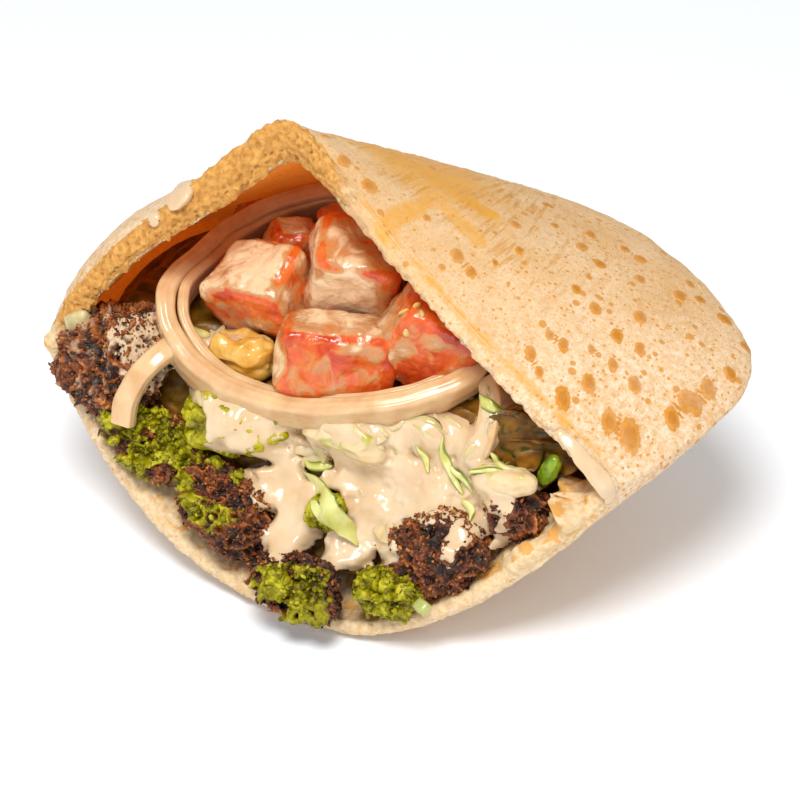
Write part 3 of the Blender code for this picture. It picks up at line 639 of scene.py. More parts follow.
def makeCrumbEdge():
    # a rope of open crumb round the mouth: over the lip's outer edge, the torn band and a way into the pocket
    columns = 1200
    angle = np.arange(columns)[None, :] * 2 * np.pi / columns
    turn = angle / np.pi
    lower = np.clip(np.sin(-angle), 0, 1) ** 0.4
    torn = smooth(turn, 0.46, 0.56) * smooth(turn, 0.98, 0.86)
    corner, leftCorner = bell(turn, 1.87, 0.10), bell(turn, 1.0, 0.05)
    reach = 0.03 + 0.17 * lower
    behind = 0.02 + 0.055 * bell(turn, 0.63, 0.09)
    outer = pocket(angle, 0 * angle)
    inner = pocket(angle, 0 * angle, wallOf(angle, 0 * angle))
    inner[..., 1] = outer[..., 1]
    rows = [pocket(angle, behind * s) for s in np.linspace(1, 0, 14)]
    rows += [outer + (inner - outer) * s - np.array([0, 0.6 * math.sin(math.pi * s), 0])
             for s in np.linspace(0, 1, 16)[1:-1]]
    for s in np.linspace(0, 1, 22):
        row = pocket(angle, reach * s, wallOf(angle, reach * s))
        row[..., 1] = np.where(s < 0.2, np.minimum(row[..., 1], inner[..., 1] + 60 * reach * s), row[..., 1])
        rows.append(row)
    for s in np.linspace(1, 0, 7)[1:-1]:
        within = behind + (reach - behind) * s
        rows.append(pocket(angle, within, 0.5 * wallOf(angle, within)))
    grid = np.concatenate(rows)
    section = np.arange(len(grid))[:, None]
    down = np.roll(grid, -1, 0) - np.roll(grid, 1, 0)
    across = np.roll(grid, -1, 1) - np.roll(grid, 1, 1)
    normal = unit(np.cross(across, down))
    normal = normal if (normal * (grid - grid.mean(0, keepdims=True))).sum() > 0 else -normal
    # it lies bare where the bread is torn, at the corners and inside the lower lip; elsewhere it keeps under
    # the skin
    onTop = smooth(section, 0, 5) * smooth(section, 48, 44)
    bare = np.clip(torn + lower + corner + leftCorner, 0, 1)
    near, _, own = grains(grid, 1.2, 31)
    pores = smooth(near, 0.6, 0.15) * (own > 0.3)
    lift = 0.35 * layered(grid, 3.4, 33) + 0.35 * layered(grid, 0.9, 35, 3) - 0.6 * pores * (0.3 + 0.7 * torn)
    rougher = 0.35 * smooth(turn, 1.02, 1.1) * smooth(turn, 1.55, 1.4)
    lift = lift * (0.5 + 0.6 * torn + 0.3 * corner + rougher) + 0.4
    lobes = 1 - creased(grid, 7.5, 36, 2)
    lift = lift + corner * smooth(section, 16, 27) * (0.8 + 5.4 * lobes) + 0.8 * leftCorner
    lift = lift * bare + (0.6 * layered(grid, 1.6, 37, 3) - 1.0) * (1 - bare)
    grid = grid + normal * (lift * onTop - 0.4 * (1 - onTop))[..., None]
    edge = bell(section, 27, 3.0)
    teeth = np.clip(layered(grid, 2.0, 41, 3), 0, 1) * torn
    inward = unit(inner - outer)
    grid = grid + inward * (edge * (1.7 * teeth - 0.7 * torn + 0.6 * torn * layered(grid, 4, 43)))[..., None]
    grid[..., 2] = np.maximum(grid[..., 2], 0.05)
    toast = np.clip(1.1 * torn + 0.25 * smooth(section, 27, 40) * lower, 0, 1)
    spots = np.clip(lower * smooth(section, 22, 30) + 0.9 * corner + leftCorner, 0, 1)
    # pit: painted shade in the pores, strongest where the bread is torn
    marks = dict(toast=toast.ravel(), pit=(pores * (0.25 + 0.75 * torn)).ravel(), spots=spots.ravel())
    faces = gridQuads(len(grid), columns, wrapRows=True)
    makePiece("pitaCrumb", grid.reshape(-1, 3), [faces], tornCrumb, "pita", marks)


makeBread()
makeCrumbEdge()
clouds = []  # the finished points of what the sauce runs over


# half sizes, turn in degrees, seed of its lumps; broken is the broken side's direction and how far out it lies,
# open how squarely a point has to face that way to be green inside, grey where sauce has dried on, spare and
# shift how it differs from the solid's box, and pale is added to its tone
falafelPieces = dict(
    falafel_left=dict(half=(12.5, 12, 14.5), turn=(0, 10, 0), seed=1, grey=(0.6, -0.22, 0.82), spare=0.8,
                      shift=(-1.2, -2.2, -1.4), rough=1.3, pale=0.10, ahead=True),
    falafel_split_left=dict(half=(14.5, 9, 7.5), turn=(0, 25, 0), seed=2, broken=((0.1, -0.8, 0.6), 0.6),
                            open=0.1, spare=-0.6, shift=(1.6, 0.6, 1.6), pale=0.05),
    falafel_split_middle=dict(half=(12.5, 10, 9), turn=(0, 25, 0), seed=3, broken=((-0.6, -0.5, 0.6), 0.6),
                              open=0.62, spare=0.7, shift=(0.4, -0.6, -1.4), pale=0.05),
    falafel_front=dict(half=(12.5, 8.5, 8.5), turn=(0, 6, 0), seed=4, broken=((0.1, -0.9, 0.4), 0.6), open=0.45,
                       spare=-1.0, shift=(0, 0.3, 0.9), pale=-0.14),
    falafel_crumb=dict(half=(8, 6, 5.5), turn=(0, -10, 0), seed=5, open=-1.0, spare=-1.0,
                       shift=(-1.0, 1.2, 1.2)),
    falafel_right=dict(half=(13, 8.5, 9.5), turn=(0, -32, 0), seed=6),
    falafel_far_right=dict(half=(7, 6.5, 8), turn=(0, -40, 0), seed=7),
    falafel_coated=dict(half=(13, 9, 7.5), turn=(0, -8, 0), seed=8, open=-1.0),
    falafel_bit=dict(half=(4.5, 4, 4.8), turn=(0, 10, 0), seed=9, open=-1.0))
# where crust shows instead: middle across and up the face, half sizes, turn in degrees
crustPatches = [(-24, 4.5, 8, 3.0, -10), (-37, 3.0, 4, 1.8, 30), (-12, -1.5, 5, 8, 10)]
crumbSeeds = []  # places and outward directions on the falafel for the loose crumbs


def poolMark(pools, a, b):
    # 1 in the middle of the nearest pool, 0 at its edge, negative outside; and how deep that pool fills
    mark, deep = np.full(a.shape, -9.0), np.zeros(a.shape)
    for x, y, halfX, halfY, degrees, *fill in pools:
        t = math.radians(degrees)
        u = (a - x) * math.cos(t) + (b - y) * math.sin(t)
        v = -(a - x) * math.sin(t) + (b - y) * math.cos(t)
        own = 1 - np.sqrt((u / halfX) ** 2 + (v / halfY) ** 2)
        mark = np.maximum(mark, own)
        deep = np.maximum(deep, smooth(own, -0.05, 0.35) * (fill[0] if fill else 0))
    return mark, deep


def makeFalafel(name, half, turn, seed, broken=None, open=None, grey=None, spare=0.0, shift=(0, 0, 0),
                rough=1.0, pale=0.0, ahead=False):
    # a ball out of round, cut off at a rough plane where it is broken, roughened by crumb in two sizes
    around = int(2 * np.pi * max(half) / 0.29)  # columns, each 0.29 mm wide
    balls = directions(around // 2, around)
    reach = lumps(balls, seed, 0.06) * (1 + 0.10 * layered(balls, 0.9, seed + 40, 3))
    facing = unit(np.array(broken[0] if broken else (0.1, -0.8, 0.5)))
    toward = balls @ facing
    if broken:
        flat = broken[1] * lumps(balls, seed + 50, 0.08) / np.maximum(toward, 1e-3)
        reach = np.where(toward > 0.05, np.minimum(reach, flat), reach)
    ball = turned(balls * reach[..., None] * np.array(half), turn)
    grid = fitted(ball, name, spare) + shift
    if ahead:  # only the part in front of the bread's edge is moved
        own = fitted(ball, name, -0.3)
        grid = own + (grid - own) * smooth(own @ out, 30, 40)[..., None]
    normal = gridNormals(grid)
    if open is None:
        inside = np.zeros(grid.shape[:2])
    else:
        inside = smooth(toward + 0.35 * layered(grid, 4.5, seed + 60), open, open + 0.12)
        crusty = smooth(layered(grid, 4.5, seed + 61), 0.3, 0.42)
        patch = poolMark(crustPatches, grid[..., 0], grid @ up)[0] + 0.4 * layered(grid, 2.5, seed + 63)
        inside = inside * (1 - 0.9 * crusty * (open > -0.9)) * smooth(patch, 0.1, -0.1)
    _, _, own = grains(grid + 0.4 * noise(grid, 1.1, seed + 62)[..., None], 1.9, seed + 70)
    fine, _, ownFine = grains(grid, 0.8, seed + 80)
    bumpFine = np.clip(1 - (fine / 0.8) ** 2, 0, 1)
    mash, crisp = creased(grid, 3.4, seed + 90, 3), 1 - creased(grid, 3.2, seed + 91, 5)
    form = np.where(inside > 0.5, mash, crisp)
    holes = smooth(layered(grid, 4.0, seed + 92, 3), 0.4, 0.8)
    lift = layered(grid, 6.0, seed + 93, 2) + (2.1 * mash - 1.2) * inside + (2.0 * crisp - 1.5) * (1 - inside)
    lift = rough * lift + 0.18 * bumpFine * (1 - 0.6 * inside) - 1.1 * holes - 0.5
    coat = np.zeros_like(lift)
    if grey:
        near = balls @ unit(np.array(grey)) + 0.12 * layered(grid, 3.5, seed + 95)
        coat = smooth(near, 0.74, 0.80) * smooth(layered(grid, 1.6, seed + 96, 3), -0.6, -0.3)
    grid = grid + normal * (lift * (1 - 0.6 * coat) + 0.3 * coat)[..., None]
    # tone follows the relief, lighter on lumps and ridges and darker in creases, which is painted shade; its
    # grain terms are the crumb's own colour and pale shifts the piece's own tone; pit marks creases and holes
    # for painted shade
    tone = 0.55 * form + 0.22 * ownFine + 0.25 * own + 0.16 * layered(grid, 5, seed + 94, 2) + pale
    pit = np.clip(1.15 - 2.4 * form + 0.6 * holes - 0.3 * bumpFine, 0, 1)
    streaks = 0.5 * smooth(layered(grid * np.array([1, 1, 0.4]), 1.5, seed + 97), 0.2, 0.6)
    coat = np.maximum(coat, streaks) if grey else coat
    points, faceSets, marks = cappedMarks(grid, tone=tone, pit=pit, inside=inside, coat=coat)
    slot = "falafel_inside" if open is not None else "falafel"
    makePiece(name.replace("falafel_", "falafel."), points, faceSets, friedFalafel, slot, marks,
              replaces=(name,))
    clouds.append(points)
    if name != "falafel_coated":
        crumbSeeds.append((grid.reshape(-1, 3), normal.reshape(-1, 3), inside.ravel()))


for name, size in falafelPieces.items():
    makeFalafel(name, **size)


# half sizes, turn, the side that the sauce has run over and how much it covers
tomatoPieces = dict(
    tomato_top=dict(half=(10, 8.5, 9), turn=(18, 12, 25), side=(-0.5, -0.3, -0.35), cover=0.84),
    # tomato_left's low cover leaves more red flesh bare, so it comes out darker: painted shade, as it lies
    # under the roof
    tomato_left=dict(half=(10.5, 8.5, 8.5), turn=(25, -14, -10), side=(0.1, -0.3, 0.9), cover=0.43),
    tomato_front=dict(half=(12, 7.5, 7.5), turn=(-8, 4, 24), side=(-0.5, -0.1, 0.9), cover=0.46),
    tomato_right=dict(half=(9.5, 8, 10), turn=(10, 30, 20), side=(-0.9, -0.3, 0.1), cover=0.27),
    tomato_back=dict(half=(8, 6.5, 6.5), turn=(10, 20, 30), side=(0, 0, 1), cover=0.1),
    tomato_behind=dict(half=(7, 6, 5.5), turn=(0, -12, 10), side=(0, 0, 1), cover=0.2),
    tomato_shaded=dict(half=(5.5, 4.5, 4.5), turn=(0, 15, 40), side=(0, 0, 1), cover=0.3))
dryClouds = []  # points of what stands out of the sauce


def makeTomato(name, half, turn, side, cover):
    # a ball squared off; sauce lies on it, thickest on one side, and has run off the cube's edges
    balls = directions(110, 190)
    seed = sum(map(ord, name))
    reach = squared(balls, 7.0) * lumps(balls, seed, 0.08)
    grid = fitted(turned(balls * reach[..., None] * np.array(half), turn), name, 0.1)
    normal = gridNormals(grid)
    sides = np.sort(np.abs(balls), -1)
    edge = smooth(sides[..., 1] / sides[..., 2], 0.72, 0.98)
    toward = normal @ unit(np.array(side))
    run = layered(grid, 6.0, seed, 2)
    coat = np.clip(cover + 0.45 * toward - 0.5 * edge + 0.4 * run, 0, 1)
    lift = 0.25 * layered(grid, 2.6, 8, 3) + 0.45 * layered(grid, 7.0, 9, 2) + 0.35 * smooth(coat, 0.4, 0.7)
    grid = grid + normal * lift[..., None]
    points, faceSets, marks = cappedMarks(grid, coat=coat)
    makePiece(name.replace("_", "."), points, faceSets, dicedTomato, "tomato", marks, replaces=(name,))
    dryClouds.append(points)


for name, size in tomatoPieces.items():
    makeTomato(name, **size)


cutPieces = dict(
    cabbage_rib=dict(half=(6.4, 2.7, 2.7), turn=(0, -8, 8), square=2.4, look=cabbage, slot="greens"),
    cabbage_florets=dict(half=(8.5, 3.4, 4), turn=(0, 4, 0), square=2.0, look=cabbage, slot="greens",
                         crumple=1.3),
    pepper_pod=dict(half=(2.2, 2.2, 4.4), turn=(0, 25, 0), square=2.2, look=pepper, slot="greens", spare=-0.3,
                    shift=(-0.8, 0.8, 0.3)),
    pickle=dict(half=(7.5, 4.5, 4.2), turn=(0, 12, 0), square=2.6, look=pickled, slot="pickle", spare=-0.4,
                crumple=1.2),
    cucumber_left=dict(half=(3.6, 2.8, 2.8), turn=(0, -30, 0), square=4.0, look=cucumber, slot="cucumber",
                       shift=(-1.8, -5.4, 1.6)),
    # cucumber_right: the shaded dark leaf, browned by painted shade
    cucumber_right=dict(half=(7.6, 1.8, 6.6), turn=(-24, 0, 12), square=4.0, look=darkLeaf, slot="cucumber"),
    cucumber_middle=dict(half=(7.5, 2.6, 5), turn=(-22, -20, 10), square=3.0, look=cucumber, slot="cucumber",
                         spare=-1.2, shift=(-1.5, 0.6, -1.6)))


def makeCutPiece(name, half, turn, square, look, slot, spare=0.2, shift=(0, 0, 0), crumple=0.35):
    # a squared ball with soft waves, or folds where it is crumpled; its mark is the rind, round a slice's edge
    balls = directions(56, 96)
    reach = squared(balls, square) * lumps(balls, sum(map(ord, name)), 0.05)
    grid = fitted(turned(balls * reach[..., None] * np.array(half), turn), name, spare) + shift
    normal = gridNormals(grid)
    wave = layered(grid, 3.0, 12, 3)
    fold = 0.8 - 2 * np.abs(layered(grid * (0.7, 1, 1.5), 6.5, 13, 3))
    grid = grid + normal * (crumple * (wave if crumple < 1 else fold))[..., None]
    tint = smooth(wave, 0.3, 0.9)
    if name.startswith("cucumber"):
        tint = smooth(1 - np.abs(balls[..., np.argmin(half)]), 0.72, 0.9)
    if look == darkLeaf:  # its veins
        tint = np.maximum(tint, smooth(np.abs(layered(grid, 6.0, 15, 3)), 0.10, 0.03))
    points, faceSets, marks = cappedMarks(grid, tint=tint)
    makePiece(name.replace("_", "."), points, faceSets, look, slot, marks, replaces=(name,))
    clouds.append(points)


for name, size in cutPieces.items():
    makeCutPiece(name, **size)


def onFace(across, upward, height):
    # back from the face's own directions to the frame's
    side = np.array([1.0, 0.0, 0.0])
    return across[..., None] * side + upward[..., None] * up + height[..., None] * out


def curve(stops, steps, closed=False):
    # a smooth line through the stops: each stretch is a cubic that leaves a stop along its neighbours' chord
    stops = np.array(stops, float)
    if closed:
        stops = np.concatenate([stops[-1:], stops, stops[:2]])
    else:
        stops = np.concatenate([2 * stops[:1] - stops[1:2], stops, 2 * stops[-1:] - stops[-2:-1]])
    place = np.linspace(0, len(stops) - 3, steps, endpoint=not closed)
    k = np.minimum(place.astype(int), len(stops) - 4)
    t = (place - k)[:, None]
    before, here, there, after = (stops[k + shift] for shift in range(4))
    return 0.5 * (2 * here + (there - before) * t + (2 * before - 5 * here + 4 * there - after) * t**2
                  + (3 * here - before - 3 * there + after) * t**3)


# stops across the face, up it and out of it
hoops = dict(
    onion_ring=dict(stops=[(-44.2, 36.5, 36.5), (-40.4, 30.4, 38), (-32, 24.8, 39), (-20.4, 22.6, 39.5),
                           (-8.4, 23.2, 39.8), (2.7, 26.2, 39.4), (12.6, 30.4, 36.5), (19.2, 35.4, 33),
                           (21.6, 40.0, 28), (20.5, 46, 20), (15.0, 53.1, 12), (4.7, 60.7, 8), (-7.4, 64.1, 7),
                           (-17.2, 64.3, 7), (-28.1, 62.6, 8), (-38, 57.2, 10), (-43.6, 51.1, 15),
                           (-45.4, 44.8, 23), (-45.8, 40.3, 31)], band=8.0, thick=4.2, closed=True),
    onion_arc=dict(stops=[(-38.6, 30.6, 37.0), (-40.8, 27.0, 41.0), (-43.0, 22.5, 43.0), (-44.6, 17.0, 43.4),
                          (-44.8, 11.6, 42.4)], band=4.6, thick=3.6),
    onion_strip=dict(stops=[(24.0, 38.6, 31), (26.6, 35.6, 34), (28.0, 31.0, 36), (27.8, 26.0, 36.5),
                            (26.4, 22.0, 36)], band=4.4, thick=1.5))
hoops["onion_inner"] = dict(hoops["onion_ring"], band=6.8, thick=2.4, stops=[
    (a + 0.085 * (-12 - a), b + 0.07 * (45 - b), h + 0.07 * (22 - h) - 1.2)
    for a, b, h in hoops["onion_ring"]["stops"]])
hoopAxis = np.array([0.233, -0.338, 0.911])  # the closed rings' own axis


def hoopGrid(stops, band, thick, closed=False, steps=280, sides=40):
    # an oblong profile carried along the line: band high along the axis, thick across it, rounded at open
    # ends; its eight shallow grooves are the lines of the onion's flesh
    stops = np.array(stops, float)
    middle = curve(onFace(*stops.T), steps, closed)
    along = unit(np.roll(middle, -1, 0) - np.roll(middle, 1, 0) if closed else np.gradient(middle, axis=0))
    outward = unit(np.cross(along, hoopAxis) if closed else out - along * (along @ out)[:, None])
    axis = np.cross(outward, along) if not closed else hoopAxis - along * (along @ hoopAxis)[:, None]
    around = np.arange(sides) * 2 * np.pi / sides
    corner = squared(np.stack([np.cos(around), np.sin(around)], -1), 4.0) * (1 + 0.03 * np.cos(8 * around))
    place = np.linspace(-1, 1, steps)[:, None]
    taper = np.ones_like(place) if closed else 1 - 0.3 * smooth(np.abs(place), 0.985, 1)
    ripple = 1 + 0.06 * noise(middle, 9, 3)[:, None]
    across = (corner * np.cos(around) * thick / 2)[None, :] * taper * ripple
    height = (corner * np.sin(around) * band / 2)[None, :] * taper * ripple
    section = across[..., None] * outward[:, None, :] + height[..., None] * unit(axis)[:, None, :]
    return middle[:, None, :] + section


def makeHoop(name, closed=False, **size):
    # a ring or strip of onion, bent unevenly
    grid = hoopGrid(closed=closed, **size)
    grid = grid + 0.25 * np.stack([noise(grid, 5, k) for k in (1, 2, 3)], -1)
    if closed:
        points, faceSets = grid.reshape(-1, 3), [gridQuads(*grid.shape[:2], wrapRows=True)]
    else:
        points, faceSets = capped(np.concatenate([grid[:1], grid, grid[-1:]]))
    tint = 0.15 * smooth(layered(points, 4.0, 14), 0.2, 0.9)
    makePiece(name.replace("_", "."), points, faceSets, rawOnion, "onion", dict(tint=tint),
              replaces=() if name == "onion_inner" else (name,))
    (dryClouds if closed else clouds).append(points)


for name, size in hoops.items():
    makeHoop(name, **size)


def makeSalad():
    # the cavity's shape up to the salad's level, with a heaped front that is cut into chopped leaves by cells
    columns, level, rise, faceFull = 300, 44.0, 7.0, 2.0
    angle = np.arange(columns)[None, :] * 2 * np.pi / columns
    depth = 0.07 + 0.85 * np.sin(np.linspace(0, np.pi / 2, 90))[:, None]
    body = pocket(angle, depth, 9.0)
    top = level + rise * depth + 1.5 * np.sin(0.13 * (body[..., 0] + 5)) * np.cos(0.11 * (body[..., 1] + 20))
    body[..., 2] = np.minimum(body[..., 2], top)
    body = np.concatenate([body, np.broadcast_to(body[-1:].mean(1, keepdims=True), body[:1].shape)])
    front = body[0]
    middle = front.mean(0)
    share = np.linspace(1, 0, 60)[1:, None, None]
    face = middle + (front - middle) * share + faceFull * (1 - share**2) * out
    grid = np.concatenate([face[::-1], body])
    normal = gridNormals(grid)
    coarse, following, own = grains(grid * np.array([0.6, 1, 1]), 3.4, 51)  # leaves, wider than high
    lift = (following - coarse) * 1.4 + 0.9 * layered(grid, 7, 52) - 1.2
    grid = grid + normal * lift[..., None]
    points, faceSets, marks = cappedMarks(grid, tint=own)
    marks["tint"] = 0.3 * smooth(marks["tint"], 0.5, 0.9)
    # the core's dark leaf look is painted shade of the cavity's depth
    makePiece("saladCore", points, faceSets, darkLeaf, "salad", marks, replaces=("salad",))
    clouds.append(points)


makeSalad()


# the face as a height map, for what lies on it: its low corner across and up, its cells' width and number
face = dict(low=(-70.0, -25.0), step=0.3, shape=(460, 320))


def cellOf(across, upward):
    # the numbers of the map's cell at this place
    return (((value - low) / face["step"]).astype(int) for value, low in zip((across, upward), face["low"]))


def faceHeights(pieces):
    # the furthest point out of the face over each cell of the map; empty cells take their neighbours'
    heights = np.full(face["shape"], -99.0)
    for points in pieces:
        i, j = cellOf(points[:, 0], points @ up)
        ok = (i >= 0) & (j >= 0) & (i < heights.shape[0]) & (j < heights.shape[1])
        np.maximum.at(heights, (i[ok], j[ok]), (points @ out)[ok])
    for _ in range(4):
        near = np.maximum.reduce([np.roll(heights, k, axis) for k in (-1, 1) for axis in (0, 1)])
        heights = np.where(heights < -90, near, heights)
    return heights


def blurred(values, size):
    # a bell-shaped mean over this many millimetres, along both directions
    reach = int(3 * size / face["step"])
    weights = np.exp(-0.5 * (np.arange(-reach, reach + 1) * face["step"] / size) ** 2)
    weights = weights / weights.sum()
    for axis in (0, 1):
        values = sum(w * np.roll(values, k, axis) for k, w in zip(range(-reach, reach + 1), weights))
    return values


def heightAt(heights, across, upward):
    # the map's value in the place's cell, or in the nearest one at its rim
    i, j = cellOf(across, upward)
    return heights[np.clip(i, 0, heights.shape[0] - 1), np.clip(j, 0, heights.shape[1] - 1)]


# the thick sauce under the surface film: the solid's own flattened ball
balls = directions(90, 160)
reach = squared(balls, 2.3) * lumps(balls, sum(map(ord, "tahini")), 0.10)
sauceBody = fitted(turned(balls * reach[..., None] * np.array([29, 4.5, 17]), (-30, 0, 4)), "tahini")
sauceBody = sauceBody.reshape(-1, 3)
ground = faceHeights(clouds + [sauceBody])
print("face mapped")


def ribbons(paths, widths, thicknesses, twist, facing=out, sides=8, pointed=0.35):
    # strips carried along many paths at once: an oval profile laid flat, rounded off or pointed at both ends
    along = unit(np.gradient(paths, axis=1))
    flat = unit(np.cross(along, facing))
    lift = np.cross(flat, along)
    steps = paths.shape[1]
    turn = twist[:, None] * np.linspace(-1, 1, steps)[None, :]
    across = flat * np.cos(turn)[..., None] + lift * np.sin(turn)[..., None]
    lift = np.cross(across, along)
    taper = np.sin(np.linspace(0.06, np.pi - 0.06, steps)) ** pointed
    around = np.arange(sides) * 2 * np.pi / sides
    sideways = across[:, :, None] * np.cos(around)[:, None] * (0.5 * widths)[:, None, None, None]
    upright = lift[:, :, None] * np.sin(around)[:, None] * (0.5 * thicknesses)[:, None, None, None]
    grid = paths[:, :, None, :] + (sideways + upright) * taper[None, :, None, None]
    return grid + 0.45 * np.stack([noise(grid, 2.4, k) for k in (8, 9, 10)], -1)


def joinedRibbons(grid):
    # one mesh of them all, each closed at both ends; and how far each point is from its strip's middle line
    count, steps, sides = grid.shape[:3]
    _, faceSets = capped(np.concatenate([grid[0, :1], grid[0], grid[0, -1:]]))
    points = np.concatenate([grid[:, 0].mean(1)[:, None], grid.reshape(count, steps * sides, 3),
                             grid[:, -1].mean(1)[:, None]], 1)
    rim = np.tile(np.abs(np.cos(np.arange(sides) * 2 * np.pi / sides)), steps)
    rim = np.tile(np.concatenate([[0.5], rim, [0.5]]), count)
    return *repeated(points, faceSets), rim


def scatteredShreds(heights, count, seed, low, high, length, width, thick, sink):
    # strips of this length laid over the face at random, bent, each following the heights below it
    dice = np.random.default_rng(seed)
    middleA, middleB = dice.uniform(low[0], high[0], count), dice.uniform(low[1], high[1], count)
    heading, bend = dice.normal(0.5, 0.8, count), dice.normal(0, 1.3, count)
    s = np.linspace(-0.5, 0.5, 14)[None, :]
    size = dice.uniform(0.5, 1.2, count)[:, None] * length
    angle = heading[:, None] + bend[:, None] * s
    a = middleA[:, None] + s * size * np.cos(angle)
    b = middleB[:, None] + s * size * np.sin(angle) + 0.4 * (middleA[:, None] - low[0])
    h = heightAt(heights, a, b) + thick * 0.3 - sink * (4 * s**2) + 0.4 * dice.normal(0, 1, (count, 1))
    grid = ribbons(onFace(a, b, h), dice.uniform(0.5, 1.4, count) * width, np.full(count, thick),
                   dice.normal(0, 0.9, count))
    return joinedRibbons(grid)


def laidStrips(heights, strips, pointed=0.35):
    # chosen strips: stops across and up the face, width, thickness, height above what lies below, twist
    paths = []
    for stops, width, thick, rise, twist in strips:
        line = curve(stops, 26)
        height = np.convolve(np.pad(heightAt(heights, *line.T), 3, "edge"), np.full(7, 1 / 7), "valid")
        paths.append(onFace(*line.T, height + rise))
    sizes = np.array([strip[1:] for strip in strips], float)
    return joinedRibbons(ribbons(np.array(paths), sizes[:, 0], sizes[:, 1], sizes[:, 3], sides=20,
                                 pointed=pointed))


soft = blurred(ground, 1.2)
creamStrips = [
    ([(-10, 22), (-6, 21), (-1.5, 22.5), (2, 24)], 3.6, 1.2, 0.5, 0.7),
    ([(0, 25), (4, 24), (7.5, 25.5)], 4.2, 1.0, 0.7, -0.6),
    ([(-1, 19), (2.5, 21), (6, 20.5)], 3.4, 1.2, 0.7, 0.8),
    ([(-5, 20), (-5.5, 17), (-4, 14.5)], 2.4, 1.4, 0.5, 0.3),
    ([(10, 31), (15, 31.5), (20, 34), (23, 36)], 3.6, 1.0, 0.6, -0.6),
    ([(16, 33), (21, 32), (26, 34)], 3.4, 1.0, 1.0, 0.7),
    ([(18, 29), (21.5, 27), (24, 23.5)], 3.0, 1.1, 0.6, 0.5),
    ([(21, 30), (24, 26), (25, 21)], 2.6, 1.0, 0.9, -0.5),
    ([(5.5, 12), (8.5, 9), (11.5, 7.5), (16, 4.4)], 3.6, 1.4, 0.9, 0.5),
    ([(9, 27), (13, 29.5), (17, 29)], 2.6, 1.0, 0.5, 0.4),
    ([(-38, 22), (-33, 20.5), (-28, 20)], 3.0, 1.6, 0.3, 0.3),
    ([(-9, 22.5), (-6.5, 24.5), (-3, 22.8)], 2.6, 1.2, 1.2, 1.3),
    ([(-4, 20), (-1.5, 23), (2, 21.6)], 2.4, 1.2, 1.3, -1.3),
    ([(3, 22.5), (6, 25.2), (9.5, 23.4)], 2.6, 1.2, 1.2, 1.4),
    ([(-7, 18.5), (-4.8, 17.2), (-4.4, 13.8)], 2.0, 1.2, 1.1, 0.9),
    ([(1, 18), (3, 15.5), (2.2, 13.4)], 2.0, 1.1, 1.0, -1.0),
    ([(14, 27), (17.5, 25), (18.5, 21.5)], 1.8, 1.0, 1.0, 1.0),
    ([(11, 22), (14, 19.5), (14.5, 16)], 1.6, 0.9, 0.9, -1.0),
    ([(24, 29), (26.5, 25.5), (26, 22.5)], 2.2, 1.0, 1.2, 1.2),
    ([(-40.5, 36.5), (-37, 33.5), (-33, 31.5)], 4.2, 1.4, 0.8, 0.4)]
greenStrips = [
    ([(15.5, 23), (17.2, 20.5), (18.5, 18)], 1.6, 0.9, 0.7, 0.3),
    ([(20, 25.5), (20.5, 22.5), (23, 19.5), (26, 16)], 1.9, 0.9, 0.8, 0.6),
    ([(22, 21), (25, 19.5), (28.5, 17)], 1.6, 0.9, 0.8, -0.6),
    ([(23.5, 34.6), (27, 34.8), (30.5, 33.6)], 2.6, 0.8, 1.2, 0.4),
    ([(26, 15), (28.5, 14), (30, 12)], 1.5, 0.8, 0.8, 0.2),
    ([(-9, 13.5), (-5.5, 13), (-2.5, 14)], 2.2, 0.8, 0.8, 0.3),
    ([(-40, 33), (-37.6, 32), (-35.5, 32.4)], 2.6, 1.2, 0.6, 0.4),
    ([(-44.5, 39.5), (-43, 41), (-40.5, 42)], 1.6, 0.8, 0.3, 0.4),
    ([(30, 25.5), (34, 23.6), (38.5, 24.6)], 1.8, 1.2, 1.0, 0.3),
    ([(27.5, 20.5), (31.5, 22.6), (36, 23.4)], 1.5, 1.0, 0.9, 0.2)]
# strips in the dark leaf look, whose brown is painted shade
darkStrips = [
    ([(28, 31.5), (32, 30.5), (36, 27.5), (38.5, 24)], 6.6, 0.9, 0.3, 0.5),
    ([(27.5, 26.5), (32, 26.5), (36.5, 26)], 5.0, 0.9, -0.4, -0.4),
    ([(12.9, 10.5), (13.2, 7.5), (14.6, 5.0)], 1.3, 0.7, 0.9, 0.2),
    ([(7.0, 19.0), (9.5, 17.6), (11.4, 18.4)], 1.2, 0.7, 0.5, 0.1)]
cabbageShreds = scatteredShreds(soft, 90, 61, (-8, 14), (30, 24), 12, 2.0, 0.8, 0.6)
lettuceShreds = scatteredShreds(soft, 26, 63, (10, 10), (30, 20), 8, 1.5, 0.8, 0.6)
# each kind's mesh, look, how green its edges are and where: patch size, seed and the noise's two limits
for name, mesh, look, green, patch, seed, low, high in (
        ("cabbageStrips", laidStrips(soft, creamStrips), cabbage, 0.5, 5, 65, 0.0, 0.6),
        ("cabbageShreds", cabbageShreds, cabbage, 0.6, 9, 62, 0.2, 0.7),
        ("lettuceShreds", lettuceShreds, lettuce, 1.0, 6, 64, -0.2, 0.4)):
    points, faceSets, rim = mesh
    tint = green * smooth(noise(points, patch, seed), low, high) * rim
    makePiece(name, points, faceSets, look, "greens", dict(tint=tint))
    clouds.append(points)


